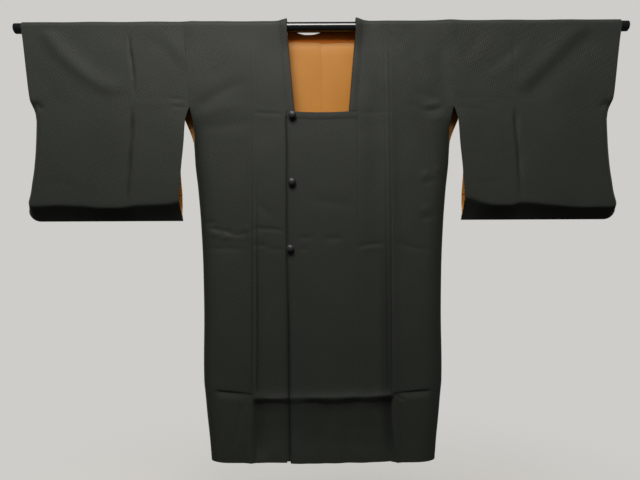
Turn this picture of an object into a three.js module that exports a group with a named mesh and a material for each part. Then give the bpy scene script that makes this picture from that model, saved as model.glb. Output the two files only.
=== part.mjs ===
// Michiyuki coat (square-necked kimono overcoat) hanging on a round rod that runs through both sleeves.
// Millimetres. X to the viewer's right (the wearer's left), Y towards the back, Z up.
// The origin is on the rod's axis, at the middle of the coat.
// Each cloth piece is a wall of even thickness, worked out as a grid of points on its middle surface and
// moved out to both sides along the surface's own normals.
import * as THREE from 'three';

// ---------------------------------------------------------------- driving sizes
const CLOTH = 1.4; // outer cloth with what backs it
const LINING = 1.0; // lining sheet
const COLLAR = 2.2; // folded collar band
const SEAM = 0.3; // gap that stands for a sewn seam
const ROD = { radius: 11.2, reach: 683, sides: 28 };
const LOOP = ROD.radius + 0.5 + CLOTH / 2; // middle surface of the cloth over the rod
const ARC_STEPS = 8; // steps of the cloth's half turn over the rod

const HEM = -958; // hem below the rod's axis
const ARMPIT = -181; // where sleeve and body part
const SLIT_END = -262; // lower end of the open side slit
const CUFF_END = -173; // lower end of the sleeve's mouth
const BAND = 16; // width of the collar band
const NECK = { top: 76.4, bottom: 59, z: -194, sag: 1.8 }; // half widths and depth of the neck opening
const PANEL = { lap: -76.5, seam: 78, rise: 1.7 }; // front overlap panel: free edge, seam, step forward
const TURN = 26; // how far from the side seam the body cloth starts to turn back
const SLEEVE = { bottom: -431, corner: 29, crease: 38, turn: 20, seamY: 4 };
const BACK_NECK = { low: -27.5, drop: 3, top: -2.5, sag: 8.7, sagAt: -28, sagReach: 26 };
const BUTTON = { radius: 8.5, sides: 14 };

// body: side edge of the front, how fully it turns at the side (0 to 1), and the depth of the front at the
// centre, beside it and towards the side, and of the back
const BODY_ROWS = [
  { z: 0, edge: 303, turn: 0, mid: -12.4, front: -12.4, side: -12.4, back: 12.4 },
  { z: -25, edge: 301.5, turn: 0, mid: -13.2, front: -13.2, side: -13.2, back: 12.9 },
  { z: -60, edge: 299, turn: 0, mid: -15, front: -15, side: -15, back: 14 },
  { z: -110, edge: 295, turn: 0, mid: -18.5, front: -18, side: -17.5, back: 15 },
  { z: -150, edge: 292, turn: 0, mid: -20.5, front: -20, side: -19.3, back: 15.8 },
  { z: -181, edge: 289.5, turn: 0, mid: -22, front: -21.5, side: -20.5, back: 16.4 },
  { z: -193, edge: 287.5, turn: 0.1, mid: -22.6, front: -22, side: -20.8, back: 16.6 },
  { z: -209, edge: 284, turn: 0.25, mid: -23.2, front: -22.6, side: -21.2, back: 16.9 },
  { z: -232, edge: 280.8, turn: 0.5, mid: -24.2, front: -23.6, side: -21.8, back: 17.4 },
  { z: -262, edge: 282.5, turn: 0.9, mid: -25.5, front: -25, side: -22.5, back: 18 },
  { z: -300, edge: 281, turn: 1, mid: -27, front: -26.3, side: -23.5, back: 18.6 },
  { z: -360, edge: 274.5, turn: 1, mid: -29, front: -28, side: -25, back: 19.4 },
  { z: -440, edge: 268, turn: 1, mid: -31, front: -30, side: -26.5, back: 20.2 },
  { z: -540, edge: 263.3, turn: 1, mid: -33, front: -31.5, side: -28, back: 21.2 },
  { z: -650, edge: 261.6, turn: 1, mid: -35.5, front: -33.5, side: -29.5, back: 22.4 },
  { z: -740, edge: 262.5, turn: 1, mid: -38.5, front: -36, side: -31, back: 23.4 },
  { z: -785, edge: 261.8, turn: 1, mid: -41, front: -38.5, side: -31.5, back: 23.8 },
  { z: -797, edge: 260.8, turn: 1, mid: -42.5, front: -40, side: -30.5, back: 23.9 },
  { z: -806, edge: 259.8, turn: 1, mid: -44, front: -41.5, side: -27.2, back: 24 },
  { z: -814, edge: 258.9, turn: 1, mid: -38.5, front: -36, side: -29.5, back: 24 },
  { z: -824, edge: 258, turn: 1, mid: -34, front: -32, side: -33, back: 24.1 },
  { z: -860, edge: 254.7, turn: 1, mid: -35, front: -32.5, side: -32.5, back: 24.4 },
  { z: -910, edge: 249.4, turn: 1, mid: -37, front: -34, side: -32, back: 24.8 },
  { z: -958, edge: 245.4, turn: 1, mid: -40.5, front: -36.5, side: -31, back: 25 },
];
// the back's side edge and turn: it runs on past the front along the open slit and joins it below
const BACK_SIDE = [
  { z: 0, edge: 303, turn: 0 },
  { z: -25, edge: 302.8, turn: 0 },
  { z: -60, edge: 302.8, turn: 0 },
  { z: -110, edge: 303.6, turn: 0 },
  { z: -150, edge: 304.8, turn: 0 },
  { z: -181, edge: 306.2, turn: 0 },
  { z: -193, edge: 307.2, turn: 0 },
  { z: -202, edge: 306.6, turn: 0.03 },
  { z: -232, edge: 296, turn: 0.2 },
  { z: -258, edge: 286.4, turn: 0.6 },
  { z: -275, edge: 283, turn: 0.95 },
  { z: -300, edge: 281, turn: 1 },
  { z: -360, edge: 274.5, turn: 1 },
  { z: -440, edge: 268, turn: 1 },
  { z: -540, edge: 263.3, turn: 1 },
  { z: -650, edge: 261.6, turn: 1 },
  { z: -740, edge: 262.5, turn: 1 },
  { z: -797, edge: 260.8, turn: 1 },
  { z: -860, edge: 254.7, turn: 1 },
  { z: -910, edge: 249.4, turn: 1 },
  { z: -958, edge: 245.4, turn: 1 },
];
const SIDE_SEAM = { top: -2, bottom: -10 }; // depth of the side seam at the slit's end and at the hem
const BACK_ROWS = [-60, -110, -150, -181, -193, -202, -232, -258, -275, -300, -360, -440, -540, -650, -740, -797, -860, -910, -958];
const BACK_NECK_ROWS = [{ z: -9, inner: 92.7 }, { z: -18, inner: 92.7 }, { z: -27.8, inner: 92.7 }, { z: -30.8, inner: 0.15 }];
const BODY_COLUMNS = [{ f: 0 }, { f: 0.22 }, { f: 0.455 }, { f: 0.7 }, { f: 1 }, { inset: 10 }, { inset: 3 }, { inset: 0 }];
const CREASE = { x: 150, rise: 1.3, reach: 14 }; // pressed crease down each front

// sleeve: inner edge of front and back, outer edge, depth of front and back
const SLEEVE_ROWS = [
  { z: 0, inner: 303.3, backInner: 303.3, outer: 664, front: -12.4, back: 12.4 },
  { z: -25, inner: 301.8, backInner: 303.1, outer: 659.5, front: -13.2, back: 12.9 },
  { z: -60, inner: 299.3, backInner: 303.1, outer: 654.5, front: -15, back: 14 },
  { z: -110, inner: 295.3, backInner: 303.9, outer: 648, front: -17.5, back: 15 },
  { z: -150, inner: 292.4, backInner: 305.1, outer: 642.5, front: -19.3, back: 15.8 },
  { z: -181, inner: 289.9, backInner: 306.5, outer: 637, front: -20.5, back: 16.4 },
  { z: -193, inner: 294, backInner: 308.6, outer: 635.4, front: -21.3, back: 16.6 },
  { z: -202, inner: 296.4, backInner: 310.6, outer: 634.2, front: -21.8, back: 16.8 },
  { z: -211, inner: 298.7, backInner: 313, outer: 633, front: -22.3, back: 17 },
  { z: -260, inner: 302, backInner: 316, outer: 634, front: -24.4, back: 18 },
  { z: -320, inner: 307.5, backInner: 320.5, outer: 638, front: -26.6, back: 19.5 },
  { z: -345, inner: 309, backInner: 319, outer: 641.5, front: -27.5, back: 19.8 },
  { z: -370, inner: 310.8, backInner: 317, outer: 645, front: -28.2, back: 20 },
  { z: -393, inner: 311.5, backInner: 316.5, outer: 651, front: -28.8, back: 20 },
  { z: -412, inner: 311.5, backInner: 315, outer: 656, front: -29, back: 20 },
  { z: -431, inner: 311, backInner: 311, outer: 657, front: -29, back: 20 },
];
const SLEEVE_BACK_ROWS = [0, -60, -110, -150, -181, -193, -202, -211, -260, -320, -345, -370, -393, -412, -431];
const SLEEVE_COLUMNS = [{ f: 0 }, { f: 0.15 }, { f: 0.365 }, { f: 0.56 }, { f: 0.8 }, { f: 1 }, { inset: 8 }, { inset: 2 }, { inset: 0 }];
const SLEEVE_CREASE = { x: 426, rise: 1.2, reach: 14 };
const SLEEVE_FOLD = { x0: 612, z0: -22, x1: 448, z1: -165, depth: 4.5, width: 34 }; // long slanting trough

const PANEL_ROWS = [-262, -360, -440, -540, -650, -740, -785, -797, -806, -814, -824, -860, -910, -958];
const PANEL_COLUMNS = [0, 0.25, 0.5, 0.75, 1];

// ---------------------------------------------------------------- colours
const paint = {
  cloth: { color: 0x2b2c2a, roughness: 0.8, metalness: 0 },
  lining: { color: 0xb9813f, roughness: 0.7, metalness: 0 },
  button: { color: 0x1c1d1c, roughness: 0.6, metalness: 0 },
  rod: { color: 0x101213, roughness: 0.25, metalness: 0.3 },
};
const finish = (kind) => new THREE.MeshStandardMaterial(paint[kind]);

// ---------------------------------------------------------------- helpers
const clamp = (v, low, high) => Math.min(high, Math.max(low, v));
const mix = (a, b, t) => a + (b - a) * t;
const smooth = (a, b, v) => {
  const t = clamp((v - a) / (b - a), 0, 1);
  return t * t * (3 - 2 * t);
};
// value of one column of a table whose rows run downwards in z
const read = (table, z, key) => {
  const i = clamp(table.findIndex((row) => row.z <= z), 1, table.length - 1);
  const last = table[table.length - 1];
  if (z <= last.z) return last[key];
  const [a, b] = [table[i - 1], table[i]];
  return mix(a[key], b[key], clamp((a.z - z) / (a.z - b.z), 0, 1));
};
// quarter-round rise from 0 at the seam to 1 at full depth
const round = (u) => Math.sqrt(1 - (1 - clamp(u, 0, 1)) ** 2);
const bell = (v, reach) => Math.exp(-((v / reach) ** 2));

// one closed wall around a grid of points; shift moves the wall along the normals
function wall(name, grid, thickness, kind, shift = 0) {
  const R = grid.length;
  const C = grid[0].length;
  const normals = grid.map((row) => row.map(() => new THREE.Vector3()));
  const a = new THREE.Vector3();
  const b = new THREE.Vector3();
  for (let r = 0; r + 1 < R; r++) {
    for (let c = 0; c + 1 < C; c++) {
      a.subVectors(grid[r + 1][c + 1], grid[r][c]);
      b.subVectors(grid[r + 1][c], grid[r][c + 1]);
      const n = new THREE.Vector3().crossVectors(a, b);
      for (const [i, j] of [[r, c], [r + 1, c], [r, c + 1], [r + 1, c + 1]]) normals[i][j].add(n);
    }
  }
  const points = [];
  for (const side of [1, -1]) {
    for (let r = 0; r < R; r++) {
      for (let c = 0; c < C; c++) {
        const n = normals[r][c].clone().normalize();
        points.push(grid[r][c].clone().addScaledVector(n, shift + (side * thickness) / 2));
      }
    }
  }
  const at = (side, r, c) => side * R * C + r * C + c;
  const faces = [];
  const quad = (p, q, s, t) => faces.push([p, q, s], [p, s, t]);
  for (let r = 0; r + 1 < R; r++) {
    for (let c = 0; c + 1 < C; c++) {
      quad(at(0, r, c), at(0, r, c + 1), at(0, r + 1, c + 1), at(0, r + 1, c));
      quad(at(1, r, c), at(1, r + 1, c), at(1, r + 1, c + 1), at(1, r, c + 1));
    }
  }
  for (let r = 0; r + 1 < R; r++) {
    quad(at(0, r + 1, 0), at(1, r + 1, 0), at(1, r, 0), at(0, r, 0));
    quad(at(0, r, C - 1), at(1, r, C - 1), at(1, r + 1, C - 1), at(0, r + 1, C - 1));
  }
  for (let c = 0; c + 1 < C; c++) {
    quad(at(0, 0, c), at(1, 0, c), at(1, 0, c + 1), at(0, 0, c + 1));
    quad(at(0, R - 1, c + 1), at(1, R - 1, c + 1), at(1, R - 1, c), at(0, R - 1, c));
  }
  let volume = 0;
  for (const [i, j, k] of faces) volume += points[i].dot(a.crossVectors(points[j], points[k])) / 6;
  const geometry = new THREE.BufferGeometry();
  geometry.setAttribute('position', new THREE.Float32BufferAttribute(points.flatMap((p) => [p.x, p.y, p.z]), 3));
  geometry.setIndex(faces.flatMap(([i, j, k]) => (volume > 0 ? [i, j, k] : [i, k, j])));
  geometry.computeVertexNormals();
  const mesh = new THREE.Mesh(geometry, finish(kind));
  mesh.name = name;
  return mesh;
}

// ---------------------------------------------------------------- the body's surfaces
// the cloth lifts off the rod towards the neck, where the collar stands up
const lift = (x) => 6.5 * clamp((112 - Math.abs(x)) / 36, 0, 1) ** 2;
const sideSeam = (z) => mix(SIDE_SEAM.top, SIDE_SEAM.bottom, clamp((SLIT_END - z) / (SLIT_END - HEM), 0, 1));
const lap = (x, z) => PANEL.rise * (1 - smooth(85, 125, x)) * (x > 0 ? smooth(-130, -190, z) : 0);

// the front as it would hang without its side turn
function frontDepth(x, z) {
  const ax = Math.abs(x);
  const near = mix(read(BODY_ROWS, z, 'mid'), read(BODY_ROWS, z, 'front'), smooth(0, 115, ax));
  const y = mix(near, read(BODY_ROWS, z, 'side'), smooth(140, 175, ax));
  return y - lift(x) * smooth(-60, 0, z) - CREASE.rise * bell(ax - CREASE.x, CREASE.reach) * smooth(-20, -80, z);
}
const backDepth = (x, z) => read(BODY_ROWS, z, 'back') + lift(x) * smooth(-60, 0, z);

// a point of the front or the back, set back at the side as far as the table's turn says
function bodyPoint(x, z, front, forward = 0) {
  const sides = front ? BODY_ROWS : BACK_SIDE;
  const edge = read(sides, z, 'edge');
  const flat = front ? frontDepth(x, z) - forward : backDepth(x, z);
  const seam = sideSeam(z) + (front ? -0.25 : 0.25);
  const turned = mix(seam, flat, round((edge - Math.abs(x)) / TURN));
  return new THREE.Vector3(x, mix(flat, turned, read(sides, z, 'turn')), z);
}

// over the rod: a half turn from front to back
function overRod(x, step) {
  const angle = (Math.PI * step) / ARC_STEPS;
  const radius = LOOP + lift(x);
  return new THREE.Vector3(x, -radius * Math.cos(angle), radius * Math.sin(angle));
}

// inner edge of the body's front: collar seam down to the neck's corner, then the panel's seam
const frontInner = (z) => mix(NECK.top + BAND + SEAM, PANEL.seam, clamp(z / NECK.z, 0, 1));
const columnX = (columns, inner, edge, turn) =>
  columns.map(({ f, inset }) => (inset === undefined ? mix(inner, edge - turn, f) : edge - inset));

function body(name, sign) {
  const grid = [];
  for (const { z } of [...BODY_ROWS].reverse()) {
    const edge = read(BODY_ROWS, z, 'edge');
    grid.push(columnX(BODY_COLUMNS, frontInner(z), edge, TURN).map((x) => bodyPoint(sign * x, z, true, lap(sign * x, z))));
  }
  const top = columnX(BODY_COLUMNS, frontInner(0), BODY_ROWS[0].edge, TURN);
  for (let step = 1; step < ARC_STEPS; step++) grid.push(top.map((x) => overRod(sign * x, step)));
  grid.push(top.map((x) => bodyPoint(sign * x, 0, false)));
  for (const { z, inner } of BACK_NECK_ROWS) {
    const edge = read(BACK_SIDE, z, 'edge');
    grid.push(columnX(BODY_COLUMNS, inner, edge, TURN).map((x) => bodyPoint(sign * x, z, false)));
  }
  for (const z of BACK_ROWS) {
    const edge = read(BACK_SIDE, z, 'edge');
    grid.push(columnX(BODY_COLUMNS, 0.15, edge, TURN).map((x) => bodyPoint(sign * x, z, false)));
  }
  return wall(name, grid, CLOTH, 'cloth');
}

// lining inside the back, where the neck and the side slits show it: the back's own points, moved inwards
const INWARD = CLOTH / 2 + SEAM + LINING / 2;
function liningBack(name, sign) {
  const rows = [BACK_NECK_ROWS[BACK_NECK_ROWS.length - 1].z - 0.6, ...BACK_ROWS.filter((z) => z > HEM), HEM + 14];
  const grid = rows.map((z) =>
    columnX(BODY_COLUMNS, 0.3, read(BACK_SIDE, z, 'edge'), TURN).slice(0, -1).map((x) => bodyPoint(sign * x, z, false)),
  );
  return wall(name, grid, LINING, 'lining', -sign * INWARD);
}

// ---------------------------------------------------------------- front panels
// lower edge of the collar's front band, and the panel's top below it
const neckLine = (x) => NECK.z - NECK.sag * clamp(1 - (x / NECK.bottom) ** 2, 0, 1);
function panel(name, from, to, topZ, forward, hem) {
  const xs = PANEL_COLUMNS.map((f) => mix(from, to, f));
  const grid = [xs.map((x) => topZ(x)), ...PANEL_ROWS.map((z) => xs.map(() => Math.max(z, hem)))].map((zs) =>
    zs.map((z, i) => new THREE.Vector3(xs[i], frontDepth(xs[i], z) - forward, z)),
  );
  return wall(name, grid, CLOTH, 'cloth');
}

// ---------------------------------------------------------------- collar
function collarSide(name, sign) {
  const fractions = [0, 0.5, 1];
  const inner = (z) => mix(NECK.top, NECK.bottom, clamp(z / NECK.z, 0, 1));
  const across = (z) => fractions.map((f) => sign * mix(inner(z), frontInner(z) - SEAM, f));
  const grid = [-193.6, -150, -110, -60, -25, 0].map((z) =>
    across(z).map((x) => new THREE.Vector3(x, frontDepth(x, z) - lap(x, z), z)),
  );
  for (let step = 1; step < ARC_STEPS; step++) grid.push(across(0).map((x) => overRod(x, step)));
  for (const z of [0, -12, -27.5]) grid.push(across(0).map((x) => new THREE.Vector3(x, backDepth(x, z), z)));
  return wall(name, grid, COLLAR, 'cloth');
}

function collarFront(name) {
  const xs = [PANEL.lap, -58, -28, 0, 28, 58, NECK.bottom + BAND - 0.1];
  const grid = [0, 0.5, 1].map((f) =>
    xs.map((x) => {
      const z = neckLine(x) - BAND * f;
      return new THREE.Vector3(x, frontDepth(x, z) - 2.4, z);
    }),
  );
  return wall(name, grid, COLLAR, 'cloth');
}

// band behind the neck; its upper edge hangs a little below the top of the rod, lowest left of centre
function collarBack(name) {
  const xs = [-75.6, -56, -38, -20, 0, 20, 48, 75.6];
  const topEdge = (x) => BACK_NECK.top - BACK_NECK.sag * bell(x - BACK_NECK.sagAt, BACK_NECK.sagReach);
  const lowEdge = (x) => BACK_NECK.low - BACK_NECK.drop * (1 - Math.abs(x) / (NECK.top + BAND));
  const grid = [0, 0.5, 1].map((f) =>
    xs.map((x) => {
      const z = mix(topEdge(x), lowEdge(x), f);
      return new THREE.Vector3(x, read(BODY_ROWS, z, 'back') + 1.4 + 3 * smooth(40, 76, Math.abs(x)) * smooth(-40, -5, z), z);
    }),
  );
  return wall(name, grid, COLLAR - 0.6, 'cloth');
}

// ---------------------------------------------------------------- sleeves
// bottom of the sleeve at a distance in from its outer edge: level, with a rounded corner
const sleeveBottom = (inset) => {
  const r = SLEEVE.corner;
  return inset >= r ? SLEEVE.bottom : SLEEVE.bottom + r - Math.sqrt(r * r - (r - inset) ** 2);
};
const slant = (x, z) => {
  const { x0, z0, x1, z1, depth, width } = SLEEVE_FOLD;
  const length = Math.hypot(x1 - x0, z1 - z0);
  const along = ((x - x0) * (x1 - x0) + (z - z0) * (z1 - z0)) / length;
  const off = ((x - x0) * (z1 - z0) - (z - z0) * (x1 - x0)) / length;
  return depth * bell(off, width) * smooth(-30, 40, along) * smooth(length + 50, length - 40, along) * smooth(0, -40, z);
};

function sleevePoint(ax, z, bottom, inset, front) {
  const open = smooth(CUFF_END - 14, CUFF_END + 6, z); // 1 at the sleeve's mouth, 0 where its edge is sewn
  let flat = read(SLEEVE_ROWS, z, front ? 'front' : 'back');
  if (front) flat += slant(ax, z) - SLEEVE_CREASE.rise * bell(ax - SLEEVE_CREASE.x, SLEEVE_CREASE.reach) * smooth(-10, -60, z);
  const closing = clamp((z - bottom) / SLEEVE.crease, 0, 1);
  const edge = mix(round(inset / SLEEVE.turn), 1, open);
  const gap = mix(1.3, 0.3, closing);
  const seam = SLEEVE.seamY + (front ? -gap : gap);
  return mix(seam, flat, edge * closing);
}

function sleeveRow(sign, z, front) {
  const corner = -350; // below this the rows crowd towards the rounded corner
  const inner = read(SLEEVE_ROWS, z, front ? 'inner' : 'backInner');
  const outer = read(SLEEVE_ROWS, z, 'outer');
  return SLEEVE_COLUMNS.map(({ f, inset }) => {
    const ax = inset === undefined ? mix(inner, outer - SLEEVE.turn, f) : outer - inset;
    const bottom = sleeveBottom(outer - ax);
    const at = z > corner ? z : corner + ((z - corner) * (bottom - corner)) / (SLEEVE.bottom - corner);
    const shown = inset === undefined ? ax : read(SLEEVE_ROWS, at, 'outer') - inset;
    return new THREE.Vector3(sign * shown, sleevePoint(shown, at, bottom, outer - ax, front), at);
  });
}

function sleeve(name, sign) {
  const grid = [...SLEEVE_ROWS].reverse().map(({ z }) => sleeveRow(sign, z, true));
  const top = sleeveRow(sign, 0, true).map((p) => p.x);
  for (let step = 1; step < ARC_STEPS; step++) grid.push(top.map((x) => overRod(x, step)));
  for (const z of SLEEVE_BACK_ROWS) grid.push(sleeveRow(sign, z, false));
  return wall(name, grid, CLOTH, 'cloth');
}

// lining inside the sleeve's back, which shows along the open inner edge: the back's own points, moved inwards
function liningSleeve(name, sign) {
  const rows = [-20, ...SLEEVE_BACK_ROWS.filter((z) => z < -20 && z > -380)];
  const grid = rows.map((z) => sleeveRow(sign, z, false).slice(0, 5));
  return wall(name, grid, LINING, 'lining', -sign * INWARD);
}

// ---------------------------------------------------------------- buttons and rod
// covered ball button: a dome on a short neck, its back against the panel
const BUTTONS = [
  { name: 'button_top', x: -64, z: -202.4, base: -26.7 },
  { name: 'button_middle', x: -65, z: -348.4, base: 0 },
  { name: 'button_bottom', x: -69, z: -492.5, base: 0 },
];
const BUTTON_PROFILE = [
  { r: 0, h: 0 }, { r: 3.4, h: 0 }, { r: 3.4, h: 1.2 }, { r: 6.8, h: 2.2 }, { r: 8.2, h: 4.2 }, { r: 8.5, h: 6.2 }, { r: 7.6, h: 8.6 }, { r: 4.9, h: 10.6 }, { r: 0, h: 11.4 },
];
function button({ name, x, z, base }) {
  const profile = BUTTON_PROFILE.map(({ r, h }) => new THREE.Vector2((r * BUTTON.radius) / 8.5, h));
  const mesh = new THREE.Mesh(new THREE.LatheGeometry(profile, BUTTON.sides), finish('button'));
  mesh.name = name;
  const seat = base || frontDepth(x, z) - PANEL.rise - CLOTH / 2 - 0.55;
  mesh.rotation.x = Math.PI; // the lathe's +Y turns to point forward
  mesh.position.set(x, seat, z);
  return mesh;
}

const coat = new THREE.Group();
coat.add(
  body('body_left', 1),
  body('body_right', -1),
  panel('overlap_left', PANEL.lap, PANEL.seam - SEAM, (x) => neckLine(x) - BAND - SEAM, PANEL.rise, HEM),
  panel('overlap_right', -PANEL.seam + SEAM, 77, (x) => neckLine(x) - 2, 0, HEM + 3),
  collarSide('collar_left', 1),
  collarSide('collar_right', -1),
  collarFront('collar_front'),
  collarBack('collar_back'),
  sleeve('sleeve_left', 1),
  sleeve('sleeve_right', -1),
  liningBack('lining_back_left', 1),
  liningBack('lining_back_right', -1),
  liningSleeve('lining_sleeve_left', 1),
  liningSleeve('lining_sleeve_right', -1),
  ...BUTTONS.map(button),
);

const rod = new THREE.Mesh(new THREE.CylinderGeometry(ROD.radius, ROD.radius, 2 * ROD.reach, ROD.sides), finish('rod'));
rod.name = 'rod';
rod.rotation.z = Math.PI / 2;
coat.add(rod);

export default coat;
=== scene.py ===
# Looks of the michiyuki coat on its rod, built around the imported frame.
# Sizes in the tables are millimetres in the row frame: X to the viewer's right, Y towards the back, Z up,
# with the origin on the rod's axis. Meshes are made in metres.
import math

import bpy
import numpy as np
from mathutils import Matrix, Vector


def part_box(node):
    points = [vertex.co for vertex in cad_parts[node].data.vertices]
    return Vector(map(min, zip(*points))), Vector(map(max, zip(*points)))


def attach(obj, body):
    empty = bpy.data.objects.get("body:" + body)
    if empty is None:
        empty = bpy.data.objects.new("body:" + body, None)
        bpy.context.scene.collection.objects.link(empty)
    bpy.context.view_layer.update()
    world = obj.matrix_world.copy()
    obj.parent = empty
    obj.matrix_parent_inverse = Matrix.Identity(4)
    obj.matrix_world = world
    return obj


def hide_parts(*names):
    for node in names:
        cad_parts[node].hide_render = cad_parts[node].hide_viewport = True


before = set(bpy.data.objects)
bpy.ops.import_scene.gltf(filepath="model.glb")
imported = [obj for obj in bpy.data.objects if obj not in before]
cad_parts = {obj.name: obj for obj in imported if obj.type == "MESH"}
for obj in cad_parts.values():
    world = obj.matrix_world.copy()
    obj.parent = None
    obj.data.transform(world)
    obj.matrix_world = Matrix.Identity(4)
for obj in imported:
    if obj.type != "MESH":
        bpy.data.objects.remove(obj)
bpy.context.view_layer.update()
MM = 0.001

# ------------------------------------------------------------------ driving sizes, the same as the construction's
CLOTH, LINING, COLLAR, SEAM = 1.4, 1.0, 2.2, 0.02  # the seams are drawn closed
ROD_RADIUS, ROD_REACH = 11.2, 683.0
LOOP = ROD_RADIUS + 0.5 + CLOTH / 2
HEM, ARMPIT, SLIT_END, CUFF_END, BAND, TURN = -958.0, -181.0, -262.0, -173.0, 16.0, 38.0
NECK = dict(top=76.4, bottom=59.0, z=-194.0, sag=1.8)
PANEL = dict(lap=-76.5, seam=78.0, rise=1.7)
SLEEVE = dict(bottom=-431.0, corner=29.0, turn=20.0, seam_y=4.0)
BACK_NECK = dict(low=-27.5, drop=3.0, top=-2.5, sag=8.7, sag_at=-28.0, sag_reach=27.5)


# ------------------------------------------------------------------ small mathematics
def mix(a, b, t):
    return a + (b - a) * t


def smooth(a, b, v):
    t = np.clip((v - a) / (b - a), 0, 1)
    return t * t * (3 - 2 * t)


def bell(v, reach):
    return np.exp(-((v / reach) ** 2))


def quarter(u):
    """Quarter-round rise from 0 at a seam to 1 at full depth."""
    return np.sqrt(np.clip(1 - (1 - np.clip(u, 0, 1)) ** 2, 0, 1))


def soft_ramp(t, e):
    """t up to 1, then 1, with a corner rounded over e."""
    u = 1 - t
    v = 1 - 0.5 * (u + np.sqrt(u * u + e * e))
    return np.clip(v, 0, 1)


class Curves:
    """Smooth curves through a table's columns; the first column is the place, and the curves don't overshoot."""

    def __init__(self, names, rows):
        data = np.array(sorted(rows), float)
        self.x = data[:, 0]
        self.cols = {n: data[:, i + 1] for i, n in enumerate(names)}
        self.slopes = {n: self._slopes(y) for n, y in self.cols.items()}

    def _slopes(self, y):
        h = np.diff(self.x)
        d = np.diff(y) / h
        m = np.zeros_like(y)
        if len(d) > 1:
            w1, w2 = 2 * h[1:] + h[:-1], h[1:] + 2 * h[:-1]
            same = d[:-1] * d[1:] > 0
            da, db = np.where(same, d[:-1], 1.0), np.where(same, d[1:], 1.0)
            m[1:-1] = np.where(same, (w1 + w2) / (w1 / da + w2 / db), 0.0)
        m[0], m[-1] = d[0], d[-1]
        return m

    def __call__(self, name, at):
        at = np.clip(np.asarray(at, float), self.x[0], self.x[-1])
        i = np.clip(np.searchsorted(self.x, at, side="right") - 1, 0, len(self.x) - 2)
        h = self.x[i + 1] - self.x[i]
        t = (at - self.x[i]) / h
        y, m = self.cols[name], self.slopes[name]
        return (
            (2 * t**3 - 3 * t**2 + 1) * y[i]
            + (t**3 - 2 * t**2 + t) * h * m[i]
            + (-2 * t**3 + 3 * t**2) * y[i + 1]
            + (t**3 - t**2) * h * m[i + 1]
        )


# ------------------------------------------------------------------ the coat's tables
# z, side edge of the front, how fully its cloth turns at the side
EDGES = Curves(
    ["edge", "turn"],
    [
        (0, 303, 0),
        (-25, 301.5, 0),
        (-60, 299, 0),
        (-110, 295, 0),
        (-150, 292, 0),
        (-181, 289.5, 0),
        (-193, 287.5, 0.1),
        (-209, 284, 0.25),
        (-232, 280.8, 0.5),
        (-262, 282.5, 0.9),
        (-300, 281, 1),
        (-360, 274.5, 1),
        (-440, 268, 1),
        (-540, 263.3, 1),
        (-650, 261.6, 1),
        (-740, 262.5, 1),
        (-785, 261.8, 1),
        (-806, 259.8, 1),
        (-824, 258, 1),
        (-860, 254.7, 1),
        (-910, 249.4, 1),
        (-958, 245.4, 1),
    ],
)
# the same for the back, which runs on past the front along the open slit
BACK_SIDE = Curves(
    ["edge", "turn"],
    [
        (0, 303, 0),
        (-25, 302.8, 0),
        (-60, 302.8, 0),
        (-110, 303.6, 0),
        (-150, 304.8, 0),
        (-181, 306.2, 0),
        (-193, 307.9, 0),
        (-202, 309.2, 0),
        (-209, 306.4, 0.03),
        (-232, 296, 0.2),
        (-258, 286.4, 0.6),
        (-275, 283, 0.95),
        (-300, 281, 1),
        (-360, 274.5, 1),
        (-440, 268, 1),
        (-540, 263.3, 1),
        (-650, 261.6, 1),
        (-740, 262.5, 1),
        (-785, 261.8, 1),
        (-806, 259.8, 1),
        (-824, 258, 1),
        (-860, 254.7, 1),
        (-910, 249.4, 1),
        (-958, 245.4, 1),
    ],
)
# z, depth of the front at the centre, beside it and towards the side, and of the back; folds come on top
DEPTHS = Curves(
    ["mid", "front", "side", "back"],
    [
        (0, -12.4, -12.4, -12.4, 12.4),
        (-25, -13.2, -13.2, -13.2, 12.9),
        (-60, -15, -15, -15, 14),
        (-110, -18.5, -18, -17.5, 15),
        (-150, -20.5, -20, -19.3, 15.8),
        (-193, -22.6, -22, -20.8, 16.6),
        (-232, -24.2, -23.6, -21.8, 17.4),
        (-262, -25.5, -25, -22.5, 18),
        (-300, -27, -26.3, -23.5, 18.6),
        (-360, -29, -28, -25, 19.4),
        (-440, -31, -30, -26.5, 20.2),
        (-540, -33, -31.5, -28, 21.2),
        (-650, -35.5, -33.5, -29.5, 22.4),
        (-740, -38.3, -35.8, -30.8, 23.4),
        (-812, -40.4, -37.9, -31.4, 24),
        (-860, -40.6, -37.4, -31.8, 24.4),
        (-910, -40.4, -36.8, -31.6, 24.8),
        (-958, -41.2, -37, -31, 25),
    ],
)
# z, where the pressed crease runs on the wearer's right (x < 0) and left front
CREASE_LINES = Curves(
    ["right", "left"],
    [(0, 150.5, 143.5), (-120, 149.5, 144), (-200, 148.6, 144.6), (-440, 147, 144.8), (-620, 146.6, 144.8), (-740, 147, 144.8), (-812, 148, 145), (-870, 146.5, 142), (-958, 147, 143)],
)

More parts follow.
